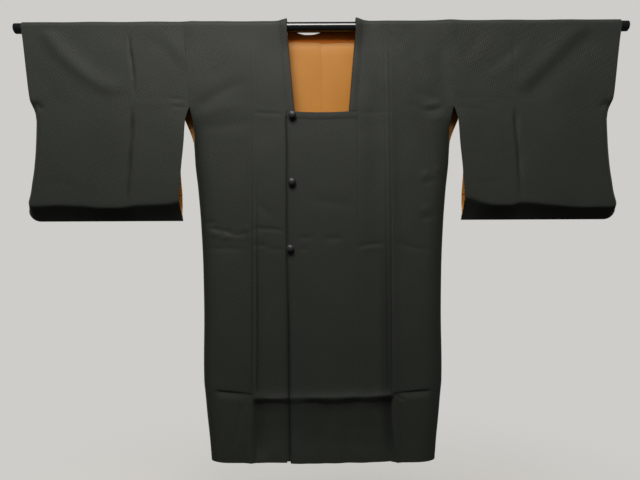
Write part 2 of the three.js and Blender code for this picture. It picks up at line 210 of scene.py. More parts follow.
# sleeve: z, inner edge of front and back below the armpit, outer edge, depth of front and back
SLEEVE_EDGES = Curves(
    ["inner", "back_inner", "outer", "front", "back"],
    [
        (0, 303.02, 303.02, 664, -12.4, 12.4),
        (-25, 301.52, 302.82, 659.5, -13.2, 12.9),
        (-60, 299.02, 302.82, 654.5, -15, 14),
        (-110, 295.02, 303.62, 648, -17.5, 15),
        (-150, 292.02, 304.82, 642.5, -19.3, 15.8),
        (-181, 289.52, 306.22, 637, -20.5, 16.4),
        (-193, 294, 308.1, 635.4, -21.0, 16.6),
        (-202, 296.4, 309.7, 634.2, -21.4, 16.8),
        (-211, 298.7, 313, 633, -21.8, 17),
        (-260, 302, 316, 634, -23.4, 18),
        (-320, 307.5, 320.5, 638, -25.4, 19.5),
        (-345, 309, 319, 641.5, -26.2, 19.8),
        (-370, 310.8, 317, 645, -26.8, 20),
        (-393, 311.5, 316.5, 651, -27.4, 20),
        (-412, 311.5, 315, 656, -27.6, 20),
        (-431, 311, 311, 657, -27.6, 20),
    ],
)
# how high above the bottom seam the sleeve's lower fold runs, by distance from the middle of the coat
FOLD_HEIGHT = Curves(
    ["right", "left"],
    [
        (300, 47, 47),
        (326, 38, 46),
        (344, 35.5, 38.5),
        (378, 34.5, 31.5),
        (412, 32.5, 31),
        (434, 29, 36.5),
        (452, 28, 36),
        (486, 28.5, 32.5),
        (520, 32, 29),
        (552, 33.5, 26.5),
        (575, 34.5, 25.5),
        (600, 33.5, 26),
        (640, 31, 25),
        (665, 30, 24),
    ],
)

# soft ridges (height above 0) and troughs (below 0): from x, z to x, z, height, half width, how far each end fades,
# how far the line bows sideways at its middle, and the half width on its other side where that differs
BODY_FOLDS = [
    # small cross creases beside the neck's corners
    (-150, -196, -84, -199, -0.36, 3.6, 20, 0.6),
    (-146, -187, -92, -190, 0.22, 5, 22, 0),
    (84, -197, 150, -193, -0.36, 4.2, 22, -1.5),
    (-146, -206, -88, -208, 0.2, 5, 22, 0),
    # slack from the armpits up to the neck
    (-282, -192, -176, -128, -1.2, 13, 40, 4),
    (-276, -168, -196, -60, 0.8, 16, 40, 6),
    (-250, -122, -196, -58, -0.7, 13, 34, -3),
    (-284, -226, -150, -214, -0.7, 12, 44, -4),
    (-278, -205, -170, -176, 0.6, 13, 44, 2),
    (286, -196, 214, -150, -1.1, 10, 34, -5),
    (278, -158, 262, -52, -1.0, 13, 40, 5),
    (250, -142, 222, -44, 0.8, 15, 40, 5),
    (224, -118, 196, -50, -0.7, 12, 34, 4),
    (276, -196, 188, -176, -0.6, 9, 40, 3),
    # puckers at the wearer's left side
    (268, -184, 222, -194, -0.8, 6.0, 18, 2),
    (262, -172, 218, -182, 0.9, 7, 18, 2),
    (268, -206, 236, -214, 0.6, 7, 14, 0),
    (236, -330, 216, -338, 1.3, 8.5, 12, 0),
    (256, -346, 222, -352, -0.8, 6.0, 14, -2),
    (262, -318, 246, -326, 0.8, 7, 10, 0),
    (258, -372, 240, -384, 0.6, 8, 12, 0),
    (232, -404, 214, -413, 1.0, 8, 12, 0),
    (250, -420, 214, -429, -0.9, 6, 14, 2),
    (254, -394, 240, -402, 0.7, 7, 10, 0),
    # wavering cross creases a little below the middle of the front
    (-256, -437, -232, -435, -1.53, 4.0, 10, 0),
    (-246, -447, -216, -455, -1.19, 3.8, 12, 1),
    (-214, -452, -196, -459, -1.36, 4.2, 10, 0),
    (-204, -462, -160, -460, -1.02, 3.8, 14, -1.5),
    (-250, -456, -224, -463, 1.02, 5, 10, 0),
    (-222, -470, -196, -466, 0.94, 5, 10, 0),
    (-176, -446, -156, -450, 0.68, 5, 10, 0),
    (-148, -450, -84, -455, -1.02, 3.6, 20, 2.5),
    (-250, -463, -120, -469, 0.51, 9, 50, 0),
    (-150, -486, -118, -487, -0.85, 3.4, 12, 0),
    (-262, -494, -170, -495, -0.77, 4.6, 36, 2),
    (-120, -494, -84, -496, -0.59, 4.4, 16, 0),
    (-52, -470, -18, -469, -0.68, 5, 14, 0),
    (-50, -494, -30, -495, -0.59, 4.4, 10, 0),
    (6, -472, 44, -471, -0.94, 6, 16, 0),
    (78, -489, 134, -484, -0.85, 3.8, 18, 2),
    (84, -498, 132, -494, 0.51, 5.5, 20, 2),
    (160, -480, 232, -497, -0.68, 4.6, 24, -3),
    (-30, -385, 60, -400, -0.68, 12, 40, 0),
    (-140, -395, -108, -424, -0.77, 8, 20, 0),
    # below the hem's cross fold: uneven upright streaks
    (-178, -832, -196, -926, -1.3, 5.0, 22, 2),
    (-166, -836, -172, -930, 0.8, 6, 24, 0),
    (-112, -846, -120, -930, -0.5, 12, 30, 0),
    (112, -822, 128, -868, -0.9, 8, 18, 0),
    (-64, -830, -58, -900, -0.8, 10, 24, 0),
    (8, -832, 2, -906, -0.6, 14, 26, 0),
    (-36, -880, 60, -896, 0.5, 12, 40, 0),
    (60, -915, 140, -930, -0.6, 12, 30, 0),
    (152, -806, 176, -823, -0.9, 2.8, 8, -2),
    (158, -802, 182, -818, 0.35, 3.2, 8, -2),
]
BACK_FOLDS = [
    (-284, -200, -176, -110, 1.8, 15, 50, 5),
    (-278, -176, -200, -52, -1.3, 15, 44, 6),
    (284, -204, 190, -128, 1.6, 15, 46, -5),
    (276, -170, 226, -58, -1.4, 14, 44, 4),
    (250, -150, 190, -60, 0.9, 16, 44, 3),
    (-272, -240, -150, -226, -0.9, 12, 44, -4),
    (270, -250, 160, -228, 1.0, 13, 44, 3),
    (-252, -452, -120, -461, -0.9, 5, 40, 3),
    (-96, -456, -14, -452, -0.8, 5, 26, -2),
    (20, -470, 118, -461, -0.9, 5, 34, 2),
    (140, -462, 244, -474, -0.8, 5.5, 34, -3),
    (-238, -497, -160, -494, -0.6, 5, 30, 0),
    (40, -500, 140, -494, 0.5, 8, 34, 0),
    (-196, -840, -208, -940, -0.9, 7, 26, 0),
    (150, -828, 144, -912, -1.1, 8, 24, 0),
    (-60, -834, -66, -930, -0.6, 12, 30, 0),
    (76, -846, 70, -940, 0.6, 12, 30, 0),
]
# on the sleeves, by x as it lies
SLEEVE_FOLDS = [
    # wearer's right sleeve: one long slanting fold, steep on its upper side and wide below
    (-613, -10, -449, -148, 3.0, 21, 38, -16, 15),
    (-500, -112, -430, -166, -0.4, 12, 34, 0),
    (-560, -70, -500, -150, 0.35, 16, 40, 0),
    (-628, -92, -560, -196, -0.3, 14, 40, 0),
    (-380, -24, -300, -120, -0.5, 14, 44, 6),
    (-346, -20, -300, -84, 0.45, 13, 36, 4),
    (-334, -163, -300, -165, -0.5, 3.2, 12, 0),
    (-328, -182, -298, -183, -0.5, 3.2, 10, 0),
    (-334, -173, -300, -174, 0.25, 3.6, 12, 0),
    (-420, -174, -330, -176, 0.25, 9, 34, 0),
    # a soft dent just inside the place where the mouth ends
    (-630, -171, -613, -187, -2.8, 6.5, 9, 0),
    # wearer's left sleeve: the same fold, running lower
    (599, -18, 450, -163, -2.5, 30, 36, 0, 16),
    (581, 3, 432, -143, 1.8, 15, 36, 0, 20),
    (428, -46, 366, -100, -0.8, 11, 30, 4),
    (466, -36, 376, -120, 0.5, 14, 40, 6),
    (384, -22, 322, -98, 0.45, 12, 36, 4),
    (350, -20, 306, -76, -0.5, 10, 30, 3),
    (630, -80, 566, -190, -0.35, 14, 40, 0),
    (302, -163, 430, -171, -0.22, 4.5, 30, 2),
    (296, -186, 366, -191, -0.25, 5, 24, 0),
    (352, -176, 392, -178, -0.35, 3.4, 12, 0),
    (628, -173, 612, -189, -2.6, 6.5, 9, 0),
    (334, -352, 400, -346, -0.4, 7, 26, 0),
    (-600, -346, -540, -352, -0.35, 9, 26, 0),
]
SLEEVE_BACK_FOLDS = [
    (-600, -20, -440, -160, -3.4, 16, 46, -6),
    (-566, -16, -410, -132, 2.4, 16, 48, -6),
    (-380, -30, -306, -128, -1.1, 14, 40, 6),
    (608, -18, 452, -150, -3.0, 15, 46, 6),
    (572, -14, 430, -120, 2.2, 16, 46, 6),
    (400, -30, 318, -126, -1.2, 13, 40, 5),
    (-420, -178, -322, -172, -0.7, 6, 30, 0),
    (316, -170, 430, -180, -0.7, 6, 30, 0),
    (-540, -350, -440, -344, -0.7, 9, 30, 0),
    (440, -352, 540, -342, -0.6, 9, 30, 0),
]


def folds(table, x, z):
    """Height of the table's ridges and troughs at x, z."""
    total = np.zeros(np.broadcast(x, z).shape)
    for x0, z0, x1, z1, height, width, fade, bow, *other in table:
        length = math.hypot(x1 - x0, z1 - z0)
        ux, uz = (x1 - x0) / length, (z1 - z0) / length
        along = (x - x0) * ux + (z - z0) * uz
        t = along / length
        off = -(x - x0) * uz + (z - z0) * ux - bow * 4 * t * (1 - t)
        ends = smooth(-0.5 * fade, 0.8 * fade, along) * smooth(length + 0.5 * fade, length - 0.8 * fade, along)
        reach = np.where(off < 0, other[0], width) if other else width
        total = total + height * bell(off, reach) * ends
    return total


def slack(x, z, seed):
    """Faint unevenness of hanging cloth, in millimetres."""
    a = seed * 1.7
    return (
        0.42 * np.sin(x / 31.0 + 0.9 * np.sin(z / 170.0 + a) + a)
        + 0.30 * np.sin(x / 19.0 - z / 210.0 + 2.1 * a)
        + 0.26 * np.sin(z / 44.0 + 0.8 * np.sin(x / 66.0 + a) - a)
        + 0.16 * np.sin(x / 23.0 + z / 27.0 + 3.3 * a)
        + 0.12 * np.sin(x / 17.0 - z / 21.0 + 0.7 * a)
    )


# ------------------------------------------------------------------ the body's surfaces
def lift(x):
    """How far the cloth stands off the rod: at the collar, and at the sleeve seam where the allowances lie."""
    ax = np.abs(x)
    collar = 6.5 * np.clip((112 - ax) / 36, 0, 1) ** 2 * np.where(x > 0, 1.12, 0.9)
    seam = 1.1 * bell(ax - 287, 17) + 0.8 * smooth(150, 300, x) + 0.35 * bell(x + 210, 60)
    ripple = 0.35 * np.sin(x / 21.0 + 0.6) * smooth(96, 140, ax) * smooth(650, 560, ax)
    return collar + seam + ripple


# z, how far the top panel's free edge wanders off its line
LAP_EDGE = Curves(["shift"], [(0, 1.0), (-210, 1.2), (-280, 2.4), (-388, 1.8), (-480, 1.5), (-560, 2.4), (-672, 5.4), (-740, 5.7), (-870, 6.2), (-958, 6.4)])


def pressed(offset, height, reach=6.1, flank=1.75):
    """A pressed crease: a low flat strip between two narrow grooves."""
    a = np.abs(offset)
    return height * (0.3 * smooth(reach + 3.0, reach - 0.5, a) - bell(a - reach, flank))


# x, how deep the hem's cross fold steps back, and how far its line wanders up
FOLD_STEP = Curves(
    ["step", "rise"],
    [(-300, 0.74, -3), (-150, 0.74, -2.6), (-104, 0.78, -2.4), (-78, 0.74, -1.6), (-48, 0.55, 0.2), (-22, 0.8, 0.2), (6, 1.05, -0.4), (40, 0.95, 0), (64, 1.0, 0.8), (90, 0.85, 1.2), (116, 1.1, 2.4), (150, 1.0, 3.0), (300, 1, 3)],
)


def hem_fold(x, z, back=False):
    """The cross fold pressed above the hem: a ridge in the middle that steps back below, a nick beside it."""
    ax = np.abs(x)
    wave = 0.8 * np.sin(x / 23.0 + 0.4) + 0.5 * np.sin(x / 11.0 + 1.9)
    line = -812.5 + FOLD_STEP("rise", x) + 0.5 * wave
    t = line - z
    crest = 4.8 * mix(0.5, 1.0, FOLD_STEP("step", x))
    step = 9.6 * FOLD_STEP("step", x) * (1 + 0.12 * np.sin(x / 9.0 + 2.0) * np.sin(x / 31.0))
    above = crest * np.exp(-((np.clip(-t, 0, None) / 10.5) ** 1.25))
    below = crest - step * smooth(-1.5, 15 + 2.4 * np.sin(x / 14.0), t) - 2.6 * smooth(7, 36, t) - 3.0 * smooth(20, 80, t) + 2.0 * smooth(90, 140, t)
    middle = np.where(t < 0, above, below)
    valley = -809.0 + 7.0 * np.clip((ax - 150) / 85, 0, 1.3) + 0.4 * wave
    t = valley - z
    side = -3.3 * smooth(-5.0, 0.8, t) * np.exp(-((np.clip(t, 0, None) / 11.0) ** 1.4)) + 0.7 * bell(t - 14, 10) + 0.3 * bell(t + 12, 12)
    side = side * smooth(240, 222, ax) * mix(1.0, 0.6, smooth(200, 165, ax))
    h = mix(middle, side, smooth(144, 158, ax))
    return h * (0.55 if back else 1.0)


def front_relief(x, z):
    down = smooth(-12, -70, z)
    right = pressed(x + CREASE_LINES("right", z), 3.1, 6.0, 2.1) * mix(0.12, 1.0, smooth(-300, -640, z))
    left = pressed(x - CREASE_LINES("left", z), 1.9, 5.2, 2.1) * mix(0.22, 1.0, smooth(-220, -640, z))
    broad = 0.7 * bell(np.abs(x) - 148, 14)
    fade = smooth(-815, -780, z)
    h = (right + left) * down * fade + broad * down * (0.3 + 0.7 * fade)
    # the strips inside the creases lean back towards them, more below the hem's fold
    lean = 1.5 * smooth(-420, -660, z) + 3.2 * smooth(-806, -832, z)
    wall = 150.5 + 0.07 * np.clip(-843 - z, 0, None)
    h = h - lean * smooth(wall - 30, wall - 2.5, x) * smooth(wall + 2.6, wall - 1.8, x)
    lean = 4.6 * smooth(-806, -832, z) * smooth(-965, -925, z)
    wall = -149.0 + 0.02 * np.clip(-843 - z, 0, None)
    h = h - lean * smooth(wall - 3.5, wall + 4.5, x) * smooth(wall + 42, wall + 7, x) + 0.9 * bell(x - wall + 4, 4) * smooth(-806, -832, z) * smooth(-900, -860, z)
    # a narrow hollow beside the top panel's free edge, and the faint line of the panel's seam
    lap = PANEL["lap"] + LAP_EDGE("shift", z)
    h = h - (3.4 * bell(x - lap + 1.2, 2.7) * smooth(-196, -215, z) + 1.3 * bell(x - lap + 3, 9) * smooth(-480, -660, z)) * mix(0.2, 1.0, smooth(-957, -936, z))
    h = h - 0.2 * bell(x - 78, 1.6) * smooth(-210, -230, z)
    h = h + folds(BODY_FOLDS, x, z) * smooth(0, -14, z)
    h = h + slack(x, z, 1.0) * smooth(0, -60, z) * (1 - 0.75 * smooth(120, 80, np.abs(x)))
    return h + hem_fold(x, z)


def front_depth(x, z, relief=True):
    ax = np.abs(x)
    near = mix(DEPTHS("mid", z), DEPTHS("front", z), smooth(0, 115, ax))
    y = mix(near, DEPTHS("side", z), smooth(140, 175, ax)) - lift(x) * smooth(-60, 0, z)
    return y - front_relief(x, z) if relief else y


def back_depth(x, z):
    down = smooth(-12, -70, z)
    ax = np.abs(x)
    h = (pressed(ax - CREASE_LINES("right", z), 0.7) + 0.6 * bell(ax - 148, 12)) * down * mix(0.3, 1.0, smooth(-815, -780, z))
    h = h + folds(BACK_FOLDS, x, z) * smooth(0, -14, z)
    h = h + slack(x, z, 2.3) * smooth(-30, -90, z)
    h = h + hem_fold(x, z, True)
    return DEPTHS("back", z) + lift(x) * smooth(-60, 0, z) + h


def side_seam(z):
    return mix(-2.0, -10.0, np.clip((SLIT_END - z) / (SLIT_END - HEM), 0, 1))


def body_y(x, z, front, forward=0.0):
    ax = np.abs(x)
    sides = EDGES if front else BACK_SIDE
    edge = sides("edge", z)
    flat = front_depth(x, z) - forward if front else back_depth(x, z)
    # the two layers part along the slit and are closed below it
    apart = mix(-0.08, 0.25, smooth(-275, -255, z))
    seam = side_seam(z) + (-apart if front else apart)
    inset = np.clip(edge - ax, 0, None)
    # the cloth droops back a little before it turns
    droop = 3.4 * np.exp(-((inset / 34.0) ** 2))
    turned = mix(seam, flat + (droop if front else -droop), quarter(inset / TURN))
    return mix(flat, turned, sides("turn", z))


# ------------------------------------------------------------------ painted shade: how much light the folds keep off the cloth
def front_shade(x, z, edge):
    """Painted shade: 0 in the open, towards 1 where the cloth turns away or lies in a crease."""
    ax, inset = np.abs(x), np.clip(edge - np.abs(x), 0, None)
    side = np.where(x < 0, 0.58 * np.exp(-((inset / 14.5) ** 2.4)), 0.70 * np.exp(-((inset / 13.0) ** 1.3)))
    side = side * EDGES("turn", z)
    pressed_in = smooth(-380, -640, z) * smooth(-818, -800, z)
    at = x + CREASE_LINES("right", z)
    right = (0.42 * bell(at + 6.0, 2.0) + 0.30 * bell(at - 6.0, 2.4) + 0.12 * smooth(30, 6, at) * smooth(4, 8, at)) * mix(0.04, 1.0, pressed_in)
    at = x - CREASE_LINES("left", z)
    left = 0.26 * smooth(-26, -14, at) * smooth(7.5, 4.5, at) + 0.22 * bell(at + 4.6, 2.0) + 0.12 * bell(at - 5.0, 1.6)
    left = left * mix(0.08, 1.0, pressed_in)
    # painted shade below the hem's fold
    under = smooth(-812, -824, z) * smooth(-962, -900, z)
    wall = -149.0 + 0.02 * np.clip(-843 - z, 0, None)
    below = 0.24 * smooth(wall - 1, wall + 6, x) * smooth(wall + 30, wall + 8, x) * under
    wall = 150.5 + 0.07 * np.clip(-843 - z, 0, None)
    below = below + 0.46 * smooth(wall - 34, wall - 8, x) * smooth(wall + 1.5, wall - 1.5, x) * under
    # painted shade beside the top panel's free edge
    lap = PANEL["lap"] + LAP_EDGE("shift", z)
    beside = (0.42 * bell(np.clip(lap - x, 0, None), 8.0) * smooth(-520, -660, z) + 0.3 * bell(x - lap + 1, 2.2)) * (x < lap + 2) * smooth(-190, -210, z)
    return np.clip(1 - (1 - side) * (1 - right) * (1 - left) * (1 - below) * (1 - beside), 0, 0.85)


def front_inner(z):
    return mix(NECK["top"] + BAND + SEAM, PANEL["seam"], np.clip(z / NECK["z"], 0, 1))


def neck_line(x):
    return NECK["z"] - NECK["sag"] * np.clip(1 - (x / NECK["bottom"]) ** 2, 0, 1)


# ------------------------------------------------------------------ closed thin shells from grids of points
RIM = [0.0, 0.02, 0.12, 0.4, 0.8, 1.3]  # distances from an edge at which its rounding or its seam is built


def spaced(*stretches):
    """Places from stretches (from, to, step), each end once."""
    out = [stretches[0][0]]
    for a, b, step in stretches:
        n = max(1, int(round(abs(b - a) / step)))
        out += [a + (b - a) * i / n for i in range(1, n + 1)]
    return out


def with_rims(places, first=True, last=True):
    """Adds the rounding's places just inside the first and last of a rising or falling list."""
    p = list(places)
    s = 1 if p[-1] > p[0] else -1
    head = [p[0] + s * r for r in RIM] if first else [p[0]]
    tail = [p[-1] - s * r for r in reversed(RIM)] if last else [p[-1]]
    reach = RIM[-1] + 0.6
    inside = [q for q in p[1:-1] if s * (q - p[0]) > (reach if first else 0) and s * (p[-1] - q) > (reach if last else 0)]
    return head + inside + tail


def unit(v):
    n = np.linalg.norm(v, axis=-1, keepdims=True)
    return v / np.maximum(n, 1e-9)


def grid_normals(P):
    """Unit normals of a grid of points, dP/dcolumn x dP/drow."""
    def step(A, axis):
        f = np.diff(A, axis=axis)
        if axis == 0:
            f = np.concatenate([f[:1], f, f[-1:]], 0)
            a, b = f[:-1], f[1:]
        else:
            f = np.concatenate([f[:, :1], f, f[:, -1:]], 1)
            a, b = f[:, :-1], f[:, 1:]
        return unit(unit(a) + unit(b))

    return unit(np.cross(step(P, 1), step(P, 0)))


def lengths(P, axis):
    d = np.linalg.norm(np.diff(P, axis=axis), axis=-1)
    zero = np.zeros((1, P.shape[1])) if axis == 0 else np.zeros((P.shape[0], 1))
    return np.concatenate([zero, np.cumsum(d, axis)], axis)


def edge_profile(d, half, sewn):
    """Half thickness at a distance from an edge: rounded where it is free, a small bevel where it is sewn."""
    free = np.sqrt(np.clip(1 - (1 - np.clip(d / half, 0, 1)) ** 2, 0, 1))
    seam = np.interp(d, RIM[:4], [0.0, 0.74, 0.94, 1.0])
    return half * mix(free, seam, sewn)


def shell(name, P, thickness, sign=1.0, offset=0.0, v0=0.0, inner_material=None, outer_material=None, sewn=(0, 0, 0, 0), painted_shade=None):
    """A closed shell around a grid of points (rows, columns, 3), in millimetres. Its free edges are rounded over
    half its thickness. sewn is 1 where the first column, the last column, the first row and the last row are sewn
    on, as one number each or one for every row or column. inner_material(P) and outer_material(P) say, for each
    cell, which material slot that side has."""
    R, C = P.shape[:2]
    N = grid_normals(P) * sign
    P = P + N * offset
    across, down = lengths(P, 1), lengths(P, 0)
    half = thickness / 2
    a, b, c, d = (np.asarray(v, float) for v in sewn)
    tall = lambda v: v.reshape(-1, 1) if v.ndim else v
    wide = lambda v: v.reshape(1, -1) if v.ndim else v
    h = edge_profile(across, half, tall(a))
    h = np.minimum(h, edge_profile(across[:, -1:] - across, half, tall(b)))
    h = np.minimum(h, edge_profile(down, half, wide(c)))
    h = np.minimum(h, edge_profile(down[-1:] - down, half, wide(d)))
    outer, inner = P + N * h[..., None], P - N * h[..., None]
    border = np.zeros((R, C), bool)
    border[[0, -1], :] = True
    border[:, [0, -1]] = True
    index_out = np.arange(R * C).reshape(R, C)
    index_in = np.full((R, C), -1)
    index_in[border] = index_out[border]
    free = ~border
    index_in[free] = R * C + np.arange(free.sum())
    points = np.concatenate([outer.reshape(-1, 3), inner[free]], 0) * MM
    a, b, c, d = index_out[:-1, :-1], index_out[:-1, 1:], index_out[1:, 1:], index_out[1:, :-1]
    top = np.stack([a, b, c, d], -1).reshape(-1, 4)
    a, b, c, d = index_in[:-1, :-1], index_in[:-1, 1:], index_in[1:, 1:], index_in[1:, :-1]
    low = np.stack([a, d, c, b], -1).reshape(-1, 4)
    if sign < 0:
        top, low = top[:, ::-1], low[:, ::-1]
    faces = np.concatenate([top, low], 0)
    mesh = bpy.data.meshes.new(name)
    mesh.vertices.add(len(points))
    mesh.vertices.foreach_set("co", points.astype(np.float32).ravel())
    mesh.loops.add(len(faces) * 4)
    mesh.loops.foreach_set("vertex_index", faces.astype(np.int32).ravel())
    mesh.polygons.add(len(faces))
    mesh.polygons.foreach_set("loop_start", np.arange(0, len(faces) * 4, 4, dtype=np.int32))
    mesh.polygons.foreach_set("use_smooth", np.ones(len(faces), bool))
    material = np.zeros(len(faces), np.int32)
    if inner_material is not None:
        material[len(top):] = inner_material(P)[:-1, :-1].reshape(-1)
    if outer_material is not None:
        material[:len(top)] = outer_material(P)[:-1, :-1].reshape(-1)
    mesh.polygons.foreach_set("material_index", material)
    mesh.update(calc_edges=True)
    # cloth coordinates: across by x, along by the length run from the first row
    run = down[:, C // 2][:, None] + v0
    uv = np.stack([P[..., 0], np.broadcast_to(run, (R, C))], -1) * MM
    uv_all = np.concatenate([uv.reshape(-1, 2), uv[free]], 0)
    layer = mesh.uv_layers.new(name="cloth")
    layer.data.foreach_set("uv", uv_all[faces.ravel()].astype(np.float32).ravel())
    # painted shade kept on each point, for the silk to darken its base colour
    if painted_shade is not None:
        dim = mesh.attributes.new("painted_shade", "FLOAT", "POINT")
        dim.data.foreach_set("value", np.concatenate([painted_shade.ravel(), np.zeros(free.sum())]).astype(np.float32))
    mesh.validate()
    obj = bpy.data.objects.new(name, mesh)
    bpy.context.scene.collection.objects.link(obj)
    area = np.linalg.norm(np.cross(P[1:, 1:] - P[:-1, :-1], P[1:, :-1] - P[:-1, 1:]), axis=-1).sum() / 2
    obj["cloth_area_m2"] = float(area * MM * MM)
    return obj


# ------------------------------------------------------------------ materials
def material(name):
    m = bpy.data.materials.new(name)
    m.use_nodes = True
    tree = m.node_tree
    tree.nodes.clear()
    out = tree.nodes.new("ShaderNodeOutputMaterial")
    shader = tree.nodes.new("ShaderNodeBsdfPrincipled")
    tree.links.new(shader.outputs[0], out.inputs["Surface"])
    return m, tree, shader


class Nodes:
    """A short way to write node trees."""

    def __init__(self, tree):
        self.tree = tree

    def node(self, kind, **settings):
        n = self.tree.nodes.new(kind)
        for k, v in settings.items():
            setattr(n, k, v)
        return n

    def put(self, socket, value):
        if hasattr(value, "is_output"):
            self.tree.links.new(value, socket)
        elif value is not None:
            socket.default_value = value

    def math(self, op, a, b=None, c=None, clamp=False):
        n = self.node("ShaderNodeMath", operation=op, use_clamp=clamp)
        self.put(n.inputs[0], a)
        if b is not None:
            self.put(n.inputs[1], b)
        if c is not None:
            self.put(n.inputs[2], c)
        return n.outputs[0]

    def noise(self, vector, scale, detail=2.0, rough=0.5):
        n = self.node("ShaderNodeTexNoise")
        self.put(n.inputs["Vector"], vector)
        n.inputs["Scale"].default_value = scale
        n.inputs["Detail"].default_value = detail
        n.inputs["Roughness"].default_value = rough
        return n.outputs["Fac"]

    def stretch(self, vector, scale):
        n = self.node("ShaderNodeVectorMath", operation="MULTIPLY")
        self.put(n.inputs[0], vector)
        n.inputs[1].default_value = scale
        return n.outputs[0]

    def colour(self, fac, a, b):
        n = self.node("ShaderNodeMix", data_type="RGBA", blend_type="MIX")
        self.put(n.inputs[0], fac)
        n.inputs[6].default_value = (*a, 1)
        n.inputs[7].default_value = (*b, 1)
        return n.outputs[2]

    def bump(self, height, strength, distance, normal=None):
        n = self.node("ShaderNodeBump")
        n.inputs["Strength"].default_value = strength
        n.inputs["Distance"].default_value = distance
        self.put(n.inputs["Height"], height)
        if normal is not None:
            self.put(n.inputs["Normal"], normal)
        return n.outputs[0]


def uv_parts(k):
    uv = k.node("ShaderNodeUVMap", uv_map="cloth").outputs[0]
    split = k.node("ShaderNodeSeparateXYZ")
    k.put(split.inputs[0], uv)
    return uv, split.outputs[0], split.outputs[1]


def silk(name, low, high, relief=1.0, rough=0.62, sheen=0.15, ribs=True):
    """Black silk woven with fine slanting wavy ribs over plain threads. The ribs show in patches, and less where
    the cloth hangs low."""
    m, tree, shader = material(name)
    k = Nodes(tree)
    uv, u, v = uv_parts(k)
    place = k.node("ShaderNodeTexCoord").outputs["Object"]
    split = k.node("ShaderNodeSeparateXYZ")
    k.put(split.inputs[0], place)
    period, wander = 5.0, 12.0  # millimetres between ribs, and along a rib's wave
    ca, sa = math.sin(math.radians(57)), math.cos(math.radians(57))
    turn = 2 * math.pi * 1000
    drift = k.math("ADD", k.math("MULTIPLY", k.noise(uv, 7.0, 2.0), 9.0), k.math("MULTIPLY", k.noise(uv, 46.0, 2.0), 3.4))
    along = k.math("ADD", k.math("MULTIPLY", u, -sa * turn / wander), k.math("MULTIPLY", v, ca * turn / wander))
    wave = k.math("MULTIPLY", k.math("SINE", k.math("ADD", along, k.math("MULTIPLY", k.noise(uv, 30.0, 1.0), 6.0))), 1.3)
    across = k.math("ADD", k.math("MULTIPLY", u, ca * turn / period), k.math("MULTIPLY", v, sa * turn / period))
    phase = k.math("ADD", k.math("ADD", across, wave), drift)
    rib = k.math("MULTIPLY_ADD", k.math("SINE", phase), 0.5, 0.5)
    # the threads
    warp = k.math("SINE", k.math("MULTIPLY", u, turn / 0.62))
    weft = k.math("SINE", k.math("MULTIPLY", v, turn / 0.7))
    thread = k.math("MULTIPLY", k.math("MULTIPLY", warp, weft), 0.5)
    patch = k.noise(uv, 8.0, 3.0, 0.55)
    cloudy = k.noise(k.stretch(uv, (1.0, 0.6, 1.0)), 3.1, 2.0, 0.5)
    fine = k.noise(k.stretch(uv, (1.0, 0.22, 1.0)), 900.0, 2.0, 0.6)
    grain = k.noise(uv, 260.0, 3.0, 0.7)
    height = k.node("ShaderNodeMapRange", interpolation_type="SMOOTHSTEP")
    k.put(height.inputs["Value"], split.outputs[2])
    for key, value in (("From Min", -0.40), ("From Max", -0.10), ("To Min", 0.25), ("To Max", 1.0)):
        height.inputs[key].default_value = value
    beside = k.node("ShaderNodeMapRange", interpolation_type="SMOOTHSTEP")
    k.put(beside.inputs["Value"], split.outputs[0])
    for key, value in (("From Min", -0.10), ("From Max", -0.17), ("To Min", 0.0), ("To Max", 0.62)):
        beside.inputs[key].default_value = value
    strength = k.math("MULTIPLY_ADD", k.noise(uv, 15.0, 2.0, 0.6), 3.2, -0.85, clamp=True)
    across_front = k.node("ShaderNodeMapRange", interpolation_type="SMOOTHSTEP")
    k.put(across_front.inputs["Value"], split.outputs[0])
    for key, value in (("From Min", -0.22), ("From Max", 0.20), ("To Min", 0.55), ("To Max", 1.6)):
        across_front.inputs[key].default_value = value
    high_up = k.math("MULTIPLY", height.outputs[0], across_front.outputs[0])
    strength = k.math("MULTIPLY", strength, k.math("MAXIMUM", high_up, beside.outputs[0]))
    if ribs:
        tone = k.math("MULTIPLY", k.math("MULTIPLY", k.math("SUBTRACT", rib, 0.5), strength), 0.8)
        tone = k.math("ADD", tone, k.math("MULTIPLY", patch, 0.35))
        tone = k.math("ADD", tone, k.math("MULTIPLY", cloudy, 0.35))
        tone = k.math("ADD", tone, k.math("MULTIPLY_ADD", grain, 0.35, -0.175))
        tone = k.math("ADD", tone, k.math("MULTIPLY", fine, 0.25), clamp=True)
        normal = k.bump(k.math("MULTIPLY", rib, strength), 1.0, 0.00027 * relief)
    else:
        tone = k.math("ADD", k.math("MULTIPLY", patch, 0.6), k.math("MULTIPLY", fine, 0.4), clamp=True)
        normal = None
    normal = k.bump(k.math("ADD", thread, k.math("MULTIPLY", fine, 0.6)), 0.5, 0.00006, normal)
    # painted shade: the base colour is darkened by the per-point shade that folds, hollows and turned edges are given
    lit = k.math("SUBTRACT", 1.0, k.node("ShaderNodeAttribute", attribute_name="painted_shade").outputs["Fac"])
    dimmed = k.node("ShaderNodeVectorMath", operation="SCALE")
    k.put(dimmed.inputs[0], k.colour(tone, low, high))
    k.put(dimmed.inputs["Scale"], lit)
    k.put(shader.inputs["Base Color"], dimmed.outputs[0])
    k.put(shader.inputs["Normal"], normal)
    k.put(shader.inputs["Roughness"], k.math("MULTIPLY_ADD", fine, 0.14, rough - 0.07))
    shader.inputs["Specular IOR Level"].default_value = 0.24
    shader.inputs["Sheen Weight"].default_value = sheen
    shader.inputs["Sheen Roughness"].default_value = 0.45
    shader.inputs["Sheen Tint"].default_value = (0.60, 0.66, 0.56, 1)
    return m


